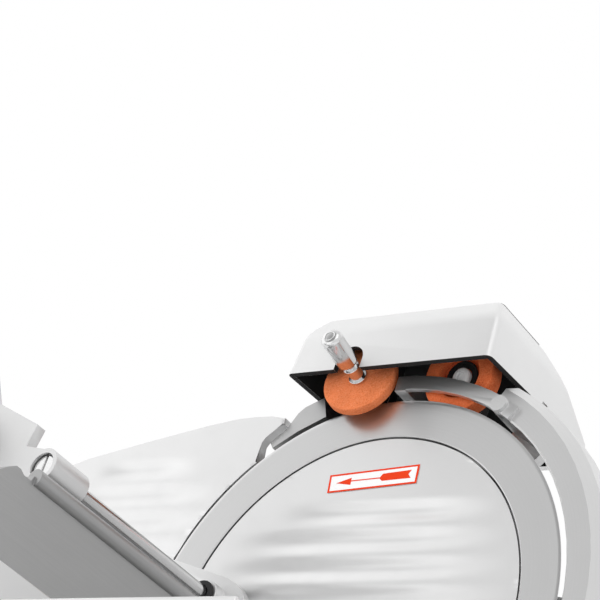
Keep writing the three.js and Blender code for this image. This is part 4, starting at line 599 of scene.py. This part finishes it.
half_turn = Matrix.Rotation(math.pi, 4, "X")
screws("belt_cover_screws", leaning_frame(across=-22, up=0, out=-77) @ half_turn, across=0, along=76,
       count_across=1, count_along=2, head_radius=3.4)
screws("motor_cover_screws", leaning_frame(motor_across, motor_up, out=-160) @ half_turn, across=58,
       along=58, count_across=2, count_along=2, head_radius=3.4)
screws("bottom_plate_screws", world_frame(x=-79.5, y=12, z=15, turn_x=180), across=213, along=220,
       count_across=2, count_along=3, head_radius=3.8)

# Tie rod of the blade cover with its lobed knob: black plastic moulded round a steel rod.
# It reaches the cover from behind, and the plastic shines softly on its lobes.
knob_plastic = moulded("moulded_black_knob", "#232324", "#171718", gloss=0.38, grain_mm=0.7, depth=0.04)
dressed("cover_tie_rod", knob_plastic, edge=1.2, steps=3, slot="black")

# Slice deflector: stainless sheet, bent and fixed behind the blade.
# It is brushed along its length, which shows as fine broken lines.
def brushed(name, light, dark, gloss, along, line_mm, stretch_mm, depth_mm):
    """Sheet or bar brushed one way: fine broken lines along one direction."""
    material, tree, place = new_material(name)
    side = blade_axis if abs(along.dot(blade_axis)) < 0.9 else across_axis
    third = along.cross(side).normalized()
    side = third.cross(along).normalized()
    parts = []
    for axis, pitch in ((along, stretch_mm), (side, line_mm), (third, line_mm)):
        scaled = add(tree, "ShaderNodeVectorMath", {0: place, 1: axis / (pitch * mm)},
                     operation="DOT_PRODUCT")
        parts.append(scaled.outputs["Value"])
    combined = add(tree, "ShaderNodeCombineXYZ", {"X": parts[0], "Y": parts[1], "Z": parts[2]})
    lines = add(tree, "ShaderNodeTexNoise", {"Vector": combined.outputs["Vector"], "Scale": 1.0,
                                             "Detail": 3.0})
    cloud = add(tree, "ShaderNodeTexNoise", {"Vector": place, "Scale": 1 / (40 * mm), "Detail": 2.0})
    both = add(tree, "ShaderNodeMix", {"Factor": 0.5, "A": lines.outputs["Fac"],
                                       "B": cloud.outputs["Fac"]}, data_type="FLOAT")
    tone = add(tree, "ShaderNodeMix", {"Factor": both.outputs["Result"], "A": linear(light),
                                       "B": linear(dark)}, data_type="RGBA")
    rough = add(tree, "ShaderNodeMapRange", {"Value": lines.outputs["Fac"], "To Min": gloss - 0.06,
                                             "To Max": gloss + 0.06})
    bump = add(tree, "ShaderNodeBump", {"Height": lines.outputs["Fac"], "Strength": 0.2,
                                        "Distance": depth_mm * mm})
    close_material(tree, {"Base Color": tone.outputs["Result"], "Metallic": 1.0,
                          "Roughness": rough.outputs["Result"], "Normal": bump.outputs["Normal"]})
    return material


stainless = brushed("brushed_stainless_sheet", "#c8c8c8", "#b6b6b6", gloss=0.28, along=up_axis,
                    line_mm=0.6, stretch_mm=14, depth_mm=0.01)
dressed("slice_deflector", stainless, edge=0.4, slot="plate")

# Gauge plate: ribbed aluminium casting that the food slides on, its right side follows the blade.
# Its arm and guide shaft carry it behind.
def arc(centre_x, centre_y, radius, start, end, steps):
    """Points on an arc between two angles in degrees, both ends included."""
    points = []
    for i in range(steps + 1):
        angle = math.radians(start + (end - start) * i / steps)
        points.append((centre_x + radius * math.cos(angle), centre_y + radius * math.sin(angle)))
    return points


blade_clearance = blade_radius + 1.5
gauge_left = 262
gauge_left_top = 92
gauge_bottom = 104
gauge_corner = 16
gauge_thick = 6
tip_degrees = 132.7
last_angle = 180 + math.degrees(math.asin(gauge_bottom / blade_clearance))
beside_blade = arc(0, 0, blade_clearance, last_angle, tip_degrees, steps=60)
gauge_outline = beside_blade[-1:] + [
    (-87.6, 105.4), (-85.7, 109.3), (-80.6, 113.9), (-75, 116.4), (-75.9, 120.4), (-85, 121.9),
    (-97, 122.3), (-108.6, 122), (-129, 119.2), (-171.3, 111.4), (-214.6, 102.7),
]
left_middle = -gauge_left + gauge_corner
gauge_outline += arc(left_middle, gauge_left_top - gauge_corner, gauge_corner, 90, 180, steps=8)
gauge_outline += arc(left_middle, -gauge_bottom + gauge_corner, gauge_corner, 180, 270, steps=8)
gauge_outline += beside_blade[:-1]

gauge_rib_count = 9
gauge_rib_centre = -168
gauge_rib_top = 93
gauge_rib_pitch = 17
gauge_rib_reach = 62
gauge_first_share = 0.6
gauge_rib_half_height = 8.4
gauge_rib_depth = 1.7


def gauge_relief(x, y):
    """The ribs of the gauge plate, the top one shorter."""
    total = 0.0
    for i in range(gauge_rib_count):
        reach = gauge_rib_reach * (1 if i else gauge_first_share)
        total += trough(x, y, gauge_rib_centre, gauge_rib_top - gauge_rib_pitch * i, reach,
                        gauge_rib_half_height, gauge_rib_depth)
    return total


gauge_metal = polished_casting("polished_anodised_gauge", "#e8e8e8", "#e1e1e1", gloss=0.40, cloud_mm=70,
                               grain_mm=0.9, grain=0.05)
gauge = ribbed_plate("gauge_plate_ribbed", gauge_outline, -gauge_thick, front=0, edge=1.0,
                     place=leaning_frame(), material=gauge_metal, relief=gauge_relief,
                     step_across=6.0, step_up=1.6)
settle(gauge, "gauge", "cast", "gauge_plate")
dressed("gauge_arm", base_metal, edge=1.0)
bright_steel = brushed("plated_ground_steel", "#d2d2d2", "#c4c4c4", gloss=0.18, along=blade_axis,
                       line_mm=0.5, stretch_mm=6, depth_mm=0.004)
dressed("gauge_guide_shaft", bright_steel, edge=0.4, slot="steel")

# Thickness dial: a knob moulded in black plastic with finger flutes, pressed on a turned steel shaft.
# White ticks are pad printed on its flange.
dressed("dial_shaft", motor_steel, edge=0.3, steps=1, slot="steel")
dressed("thickness_dial", knob_plastic, slot="black")

ticks_per_long = 4.0
short_share = 0.6


def tick_layout():
    """Short raised bars set round a ring, every fourth one longer."""
    tree, given = new_layout("dial_ticks", [
        ("Count", "NodeSocketInt"), ("Ring Radius", "NodeSocketFloat"), ("Tick Length", "NodeSocketFloat"),
        ("Tick Width", "NodeSocketFloat"), ("Tick Height", "NodeSocketFloat"),
        ("Material", "NodeSocketMaterial")])
    ring = add(tree, "GeometryNodeMeshCircle", {"Vertices": given["Count"], "Radius": given["Ring Radius"]})
    spots = add(tree, "GeometryNodeMeshToPoints", {"Mesh": ring.outputs["Mesh"]})
    size = add(tree, "ShaderNodeCombineXYZ", {"X": given["Tick Length"], "Y": given["Tick Width"],
                                              "Z": given["Tick Height"]})
    bar = add(tree, "GeometryNodeMeshCube", {"Size": size.outputs["Vector"]})
    order = add(tree, "GeometryNodeInputIndex")
    rest = add(tree, "ShaderNodeMath", {0: order.outputs["Index"], 1: ticks_per_long},
               operation="MODULO")
    short = add(tree, "ShaderNodeMath", {0: rest.outputs[0], 1: 0.5}, operation="GREATER_THAN")
    stretch = add(tree, "ShaderNodeMapRange", {"Value": short.outputs[0], "To Min": 1.0,
                                               "To Max": short_share})
    scale = add(tree, "ShaderNodeCombineXYZ", {"X": stretch.outputs["Result"], "Y": 1.0, "Z": 1.0})
    spot = add(tree, "GeometryNodeInputPosition")
    outward = add(tree, "FunctionNodeAlignRotationToVector", {"Vector": spot.outputs["Position"]}, axis="X")
    placed = add(tree, "GeometryNodeInstanceOnPoints", {
        "Points": spots.outputs["Points"], "Instance": bar.outputs["Mesh"],
        "Rotation": outward.outputs["Rotation"], "Scale": scale.outputs["Vector"]})
    close_layout(tree, placed.outputs["Instances"], given["Material"])
    return tree


tick_paint = printed("white_pad_print", "#e6e6e4", gloss=0.5)
dial_ticks = laid_out("thickness_dial_ticks", tick_layout(), {
    "Count": 32, "Ring Radius": 24.2, "Tick Length": 2.6, "Tick Width": 0.7, "Tick Height": 0.3,
    "Material": tick_paint}, world_frame(x=-63.15, y=-192.2, z=43.3, turn_x=90))
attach(dial_ticks, frame["nodes"]["thickness_dial"]["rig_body"])

# Sharpener hood: one casting, satin anodised outside with softly rounded shoulders, near-black
# inside where the stones hang. The notch lets the push pin through; its black walls are painted shade. The
# hood lifts off with its post.
inside_half_width = 60
inside_rear, inside_front = -60, 6
inside_top = 165
wall_half_width = 61.9
wall_rear, wall_front = -79, 18
wall_top = 172.2
lip_top = 145
rim_rear = -66
notch_centre = -24.5
notch_half_width = 12
notch_top = 156
facing_share = 0.7
shoulder_area = 90
shoulder_turn = 0.2
hood_middle = Vector((0, 150, -30))


def is_inside_hood(face):
    """Whether a face of the hood takes the near-black inside: its cavity, its inner walls, and the pin's
    notch, where the black is painted shade.
    """
    spot = face.calc_center_median()
    outward = face.normal.dot(spot - hood_middle) > 0 and face.normal.y > -facing_share
    held = abs(spot.x) < inside_half_width and inside_rear < spot.z < inside_front and spot.y < inside_top
    walled = abs(spot.x) < wall_half_width and wall_rear < spot.z < wall_front and spot.y < wall_top
    lip = face.normal.y < -facing_share and spot.y < lip_top
    rim = face.normal.z < -facing_share and spot.z < rim_rear
    beside_pin = abs(spot.x - notch_centre) < notch_half_width and spot.z > 0 and spot.y < notch_top
    # The notch's walls take the black as painted shade.
    notch_painted_shade = beside_pin and abs(face.normal.z) < 0.5
    return held or notch_painted_shade or (walled and not outward and not lip and not rim), outward


def hood(node, outside, inside, round_mm, lip_mm):
    """The hood's solid with rounded shoulders and two materials; the near-black on the notch's walls is
    painted shade.
    """
    source = frame["nodes"][node]
    shape = merged_copy(source)
    bmesh.ops.transform(shape, matrix=to_leaning, verts=shape.verts)
    shape.normal_update()
    shoulders = set()
    for face in shape.faces:
        within, outward = is_inside_hood(face)
        face.material_index = 1 if within else 0
        if outward and not within and face.calc_area() > shoulder_area:
            shoulders.add(face)
    rounded = [e for e in shape.edges if len(e.link_faces) == 2
               and all(f in shoulders for f in e.link_faces) and e.calc_face_angle() > shoulder_turn]
    bmesh.ops.bevel(shape, geom=rounded, offset=round_mm, segments=5, profile=0.5, affect="EDGES",
                    clamp_overlap=False, material=0)
    bmesh.ops.transform(shape, matrix=leaning_frame(), verts=shape.verts)
    piece = piece_from(shape, node + "_finished", outside, inside)
    broken_edges(piece, lip_mm, steps=2, degrees=40)
    smoothed(piece, degrees=35.0)
    return settle(piece, source["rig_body"], "cast", node)


# Near-black for the hood's cavity; on the notch's walls and on the rear stone's washer it is painted shade.
near_black_and_painted_shade = moulded("near_black_inside_and_painted_shade", "#0c0c0c", "#070707", gloss=0.85, grain_mm=1.2, depth=0.06)
housing_metal = polished_casting("satin_anodised_hood", "#e9e9e9", "#e2e2e2", gloss=0.50, cloud_mm=55,
                                 grain_mm=0.9, grain=0.06)
hood("sharpener_housing", housing_metal, near_black_and_painted_shade, round_mm=3.4, lip_mm=1.2)
dressed("sharpener_post", bright_steel, edge=0.4, slot="plate")
dressed("sharpener_clamp_knob", knob_plastic, edge=1.0, steps=3, slot="black")


# Stones: pink-brown aluminium oxide grit in a vitrified bond, turned on a lathe.
# The grit shows as pale and dark specks in an orange body.
def grit_stone(name, body, pale, dark, grit_mm):
    """Vitrified grinding stone: open matt grain with sparse light and dark specks."""
    material, tree, place = new_material(name)
    grain = add(tree, "ShaderNodeTexNoise", {"Vector": place, "Scale": 1 / (grit_mm * mm), "Detail": 6.0,
                                             "Roughness": 0.8})
    specks = add(tree, "ShaderNodeTexVoronoi", {"Vector": place, "Scale": 1 / (1.6 * grit_mm * mm)})
    patch = add(tree, "ShaderNodeTexNoise", {"Vector": place, "Scale": 1 / (9 * mm), "Detail": 4.0})
    light = add(tree, "ShaderNodeMapRange", {"Value": grain.outputs["Fac"], "From Min": 0.52,
                                             "From Max": 0.72})
    first = add(tree, "ShaderNodeMix", {"Factor": light.outputs["Result"], "A": linear(body),
                                        "B": linear(pale)}, data_type="RGBA")
    low = add(tree, "ShaderNodeMapRange", {"Value": grain.outputs["Fac"], "From Min": 0.47,
                                           "From Max": 0.3})
    second = add(tree, "ShaderNodeMix", {"Factor": low.outputs["Result"], "A": first.outputs["Result"],
                                         "B": linear(dark)}, data_type="RGBA")
    drift = add(tree, "ShaderNodeMapRange", {"Value": patch.outputs["Fac"], "To Min": 0.8, "To Max": 1.15})
    tone = add(tree, "ShaderNodeHueSaturation", {"Color": second.outputs["Result"],
                                                 "Value": drift.outputs["Result"]})
    height = add(tree, "ShaderNodeMix", {"Factor": 0.5, "A": grain.outputs["Fac"],
                                         "B": specks.outputs["Distance"]}, data_type="FLOAT")
    bump = add(tree, "ShaderNodeBump", {"Height": height.outputs["Result"], "Strength": 0.8,
                                        "Distance": 0.35 * mm})
    close_material(tree, {"Base Color": tone.outputs["Color"], "Roughness": 0.95, "IOR": 1.5,
                          "Specular IOR Level": 0.2, "Normal": bump.outputs["Normal"]})
    return material


stone_radius = 21
stone_thick = 9.5
truing_thick = 5.7
truing_frame = leaning_frame(across=notch_centre, up=135.5, out=9.8, tilt=-4.4, swing=6)
grinding_frame = leaning_frame(across=33, up=137.7, out=1, tilt=8)
front_stone_grit = grit_stone("vitrified_orange_stone", "#eb8250", "#f3a97e", "#b6532a", grit_mm=0.9)
rear_stone_grit = grit_stone("vitrified_red_stone", "#e57040", "#ee986a", "#a64420", grit_mm=0.9)
truing_profile = [
    (3.3, -truing_thick), (20.1, -truing_thick), (20.7, -5.4), (stone_radius, -4.8), (stone_radius, -0.9),
    (20.7, -0.3), (20.1, 0), (3.3, 0),
]
settle(turned("truing_stone_turned", truing_profile, truing_frame, front_stone_grit, sides=96),
       "truing_wheel", "stone", "truing_stone")
grinding_profile = [
    (4.2, -stone_thick), (20.1, -stone_thick), (20.7, -9.2), (stone_radius, -8.6), (stone_radius, -0.9),
    (20.7, -0.3), (20.1, 0), (13.2, 0), (12.5, -0.3), (12.3, -0.9), (12.3, -5), (4.2, -5),
]
settle(turned("grinding_stone_turned", grinding_profile, grinding_frame, rear_stone_grit, sides=96),
       "grinding_wheel", "stone", "grinding_stone")

# Push pin: turned steel, bright nickel plated. The rear stone's screw is turned too, near-white and not
# metal:
# its brightness is a painted highlight. The pin's spring is bare spring wire behind the stone.
pin_metal = turned_metal("turned_nickelled_pin", "#dedede", "#d2d2d2", gloss=0.14,
                         centre=truing_frame.translation, line_mm=0.5, depth_mm=0.01)
pin_profile = [
    (0, -30), (2.6, -30), (3, -29.6), (3, -29), (5.2, -29), (5.2, -27.8), (3, -27.8), (3, 0.3), (5, 0.3),
    (5.2, 0.5), (5.2, 1.5), (5, 1.7), (3.9, 1.7), (3.9, 8.5), (4.3, 8.5), (4.5, 8.7), (4.5, 9.5),
    (4.3, 9.7), (3, 9.7), (3, 13), (4.4, 13), (5.4, 13.5), (5.9, 14.6),
    (5.9, 32.9), (5.78, 33.7), (5.4, 34.5), (4.7, 35.2), (3.9, 35.6), (3.1, 35.7), (2.8, 35.5),
    (2.4, 35.5), (2.1, 35.8), (0, 35.9),
]
settle(turned("push_pin_turned", pin_profile, truing_frame, pin_metal, sides=96, sharp=40),
       "truing_pin", "plate", "push_pin")
# Near-white and not metal: a painted highlight in place of the screw's bright reflection.
screw_painted_highlight = moulded("screw_white_painted_highlight", "#f2f2f2", "#e2e2e2", gloss=0.22, grain_mm=0.8, depth=0.01)
stone_screw_profile = [
    (0, -21), (3.5, -21), (3.9, -20.6), (3.9, -4.7), (5.2, -4.7), (5.5, -4.4), (5.5, -3.1), (5.3, -2.5),
    (4.6, -1.9), (3.7, -1.7), (2.6, -1.7), (2.4, -1.9), (2.4, -3.5), (0, -3.5),
]
settle(turned("grinding_stone_screw_turned", stone_screw_profile, grinding_frame, screw_painted_highlight, sides=72,
              sharp=35), "sharpener", "plate", "grinding_stone_screw")
# The washer in the rear stone's recess is near-black: painted shade for the dark round the screw.
painted_shade_washer_profile = [
    (5.9, -4.98), (9.1, -4.98), (9.5, -4.6), (9.5, -3.2), (9.1, -2.9), (8.6, -3.1), (8.3, -3.9), (5.9, -4.1),
]
settle(turned("grinding_stone_washer_painted_shade", painted_shade_washer_profile, grinding_frame, near_black_and_painted_shade, sides=64),
       "grinding_wheel", "black")
painted_on(motor_steel, "push_pin_spring")

# Carriage: the tray and its light flange are cast aluminium, the food wall is anodised sheet in a darker
# grey, which is painted shade.
# The wall's round bead stiffens its upper edge. The foot slides on two dull brown bronze bushes.
# The wall sheet's grey, darker than the castings, is painted shade.
wall_sheet_painted_shade = brushed("anodised_wall_sheet_painted_shade", "#b0b0b0", "#a5a5a5", gloss=0.40, along=blade_axis,
                     line_mm=0.7, stretch_mm=30, depth_mm=0.006)
dressed("carriage_wall", wall_sheet_painted_shade, edge=0.9, steps=3, slot="anodised")
tray_metal = polished_casting("satin_anodised_tray", "#e4e4e4", "#dadada", gloss=0.38, cloud_mm=50,
                              grain_mm=0.9, grain=0.06)
dressed("carriage_tray", tray_metal)
dressed("carriage_foot", base_metal, edge=1.0)
bush_bronze = polished_casting("sintered_bronze_bush", "#b9935a", "#9c7845", gloss=0.45, cloud_mm=5,
                               grain_mm=0.6, grain=0.1)
for node in ("slide_bush_front", "slide_bush_rear"):
    dressed(node, bush_bronze, edge=0.4, slot="bronze")
dressed("carriage_handle", knob_plastic, slot="black")
dressed("tray_clamp_knob", knob_plastic, edge=1.0, steps=3, slot="black")

# Thumb guard: polished aluminium casting with the socket of the pusher's rod.
# A matt black rubber ring seals the socket.
dressed("thumb_guard", tray_metal, edge=1.2, steps=3)
dressed("rod_seal", foot_rubber, edge=0.4, slot="rubber")

# Pusher: a cast arm that slides and swings on a ground steel rod, with a plastic sleeve between.
# A toothed stainless plate on the arm holds the food.
dressed("pusher_rod", bright_steel, edge=0.4, slot="plate")
dressed("rod_end_screw", pin_metal, edge=0.3, slot="plate")
arm_metal = polished_casting("satin_anodised_arm", "#dddddd", "#d3d3d3", gloss=0.38, cloud_mm=40,
                             grain_mm=0.9, grain=0.06)
pusher_arm = dressed("pusher_arm", arm_metal, edge=0.9, steps=3)
foot_left_end = -175
foot_start, foot_run = 50, 9
foot_set_back = 9
# Above the foot's root the arm is set back from the food wall.
for vert in pusher_arm.data.vertices:
    spot = to_leaning @ vert.co
    if spot.x > foot_left_end:
        spot.x -= foot_set_back * min(1, max(0, (spot.y - foot_start) / foot_run))
        vert.co = leaning_frame() @ spot
sleeve_plastic = moulded("turned_acetal_sleeve", "#c9c9c6", "#bcbcb8", gloss=0.4, grain_mm=1.0, depth=0.02)
dressed("pusher_bush", sleeve_plastic, edge=0.3, slot="grey")
dressed("pusher_teeth_plate", stainless, edge=0.3, steps=1, slot="plate")
dressed("pusher_knob", knob_plastic, edge=0.6, slot="black")

# Slide rod and guide rail under the base: ground steel bars that the carriage foot runs on.
# They are ground lengthwise, so they reflect in long streaks.
rod_steel = brushed("ground_slide_rod", "#c8c8c8", "#b8b8b8", gloss=0.14, along=across_axis, line_mm=0.4,
                    stretch_mm=9, depth_mm=0.004)
dressed("slide_rod", rod_steel, edge=0.5, slot="plate")
dressed("guide_rail", rod_steel, edge=0.4, slot="steel")

# Switch panel with its two buttons, all moulded in plastic, and what sits behind it in the base.
# The buttons are glossy, the hidden blocks dull.
dressed("switch_panel", knob_plastic, edge=0.6, slot="black")
screws("switch_panel_screws", world_frame(x=-145.1, y=-190.4, z=45, turn_x=90), across=58, along=30,
       count_across=2, count_along=2, head_radius=2.3)
for button, colour, light, dark in (("on_button", "green", "#2f8a46", "#2a7c3f"),
                                    ("off_button", "red", "#b8281f", "#a5241c")):
    plastic = moulded(f"glossy_{colour}_button", light, dark, gloss=0.25, grain_mm=2.0, depth=0.01)
    dressed(button, plastic, edge=0.5, steps=3, slot=colour)
grey_plastic = moulded("grey_moulded_block", "#9c9c9a", "#8d8d8b", gloss=0.5, grain_mm=1.0, depth=0.03)
for node in ("switch_block", "run_capacitor"):
    dressed(node, grey_plastic, slot="grey")
dressed("cord_gland", knob_plastic, edge=0.5, slot="black")

# The studio: a pale floor, a white surround and three large soft lamps at a plain level.
# What metal reflects is a little brighter or darker in three directions, as in a real room.
floor_half = 4.0
floor_mesh = bpy.data.meshes.new("floor")
floor_mesh.from_pydata([(-floor_half, -floor_half, 0), (floor_half, -floor_half, 0),
                        (floor_half, floor_half, 0), (-floor_half, floor_half, 0)], [], [(0, 1, 2, 3)])
floor = linked("floor", floor_mesh)
floor_paper, tree, place = new_material("pale_paper_floor")
mottle = add(tree, "ShaderNodeTexNoise", {"Vector": place, "Scale": 4.0})
tone = add(tree, "ShaderNodeMix", {"Factor": mottle.outputs["Fac"], "A": linear("#f0f0f0"),
                                   "B": linear("#ededee")}, data_type="RGBA")
close_material(tree, {"Base Color": tone.outputs["Result"], "Roughness": 0.9})
floor_mesh.materials.append(floor_paper)

world = bpy.data.worlds.new("studio")
bpy.context.scene.world = world
world.use_nodes = True
tree = world.node_tree
tree.nodes.clear()
daylight = 1.15
ray = add(tree, "ShaderNodeLightPath")
seen = add(tree, "ShaderNodeMath", {0: ray.outputs["Is Camera Ray"], 1: ray.outputs["Is Transmission Ray"]},
           operation="MAXIMUM")
heading = add(tree, "ShaderNodeTexCoord").outputs["Generated"]
# Where metal looks to, how near that way the glow starts and is full, and its level off and on it.
operator_side = ((0.30, -0.85, 0.43), 0.75, 0.95, 0.92, 1.35)
far_upper_side = ((0.57, -0.23, 0.79), 0.87, 0.97, 1.0, 0.41)
over_the_hood = ((-0.45, -0.57, 0.69), 0.84, 0.98, 1.0, 1.25)
glow = None
for aim, near, far, start, finish in (operator_side, far_upper_side, over_the_hood):
    facing = add(tree, "ShaderNodeVectorMath", {0: heading, 1: aim}, operation="DOT_PRODUCT")
    step = add(tree, "ShaderNodeMapRange", {"Value": facing.outputs["Value"], "From Min": near,
                                            "From Max": far, "To Min": start, "To Max": finish},
               interpolation_type="SMOOTHSTEP")
    glow = step if glow is None else add(tree, "ShaderNodeMath", {0: glow.outputs[0], 1: step.outputs[0]},
                                         operation="MULTIPLY")
glossy = add(tree, "ShaderNodeMix", {"Factor": ray.outputs["Is Glossy Ray"], "A": daylight,
                                     "B": glow.outputs[0]}, data_type="FLOAT")
level = add(tree, "ShaderNodeMix", {"Factor": seen.outputs["Value"], "A": glossy.outputs["Result"],
                                    "B": 1.0}, data_type="FLOAT")
background = add(tree, "ShaderNodeBackground", {"Color": (1, 1, 1, 1), "Strength": level.outputs["Result"]})
add(tree, "ShaderNodeOutputWorld", {"Surface": background.outputs["Background"]})


def soft_lamp(name, place, target, size, power):
    lamp = bpy.data.lights.new(name, "AREA")
    lamp.shape = "SQUARE"
    lamp.size = size
    lamp.energy = power
    holder = linked(name, lamp)
    holder.location = place
    holder.rotation_euler = (Vector(target) - Vector(place)).to_track_quat("-Z", "Y").to_euler()


soft_lamp("key_lamp", place=(0.9, 0.9, 2.4), target=blade_centre, size=1.8, power=6)
soft_lamp("fill_lamp", place=(2.6, -0.6, 1.0), target=blade_centre, size=1.8, power=5)
soft_lamp("back_lamp", place=(-2.2, 0.4, 1.6), target=blade_centre, size=1.8, power=1.5)
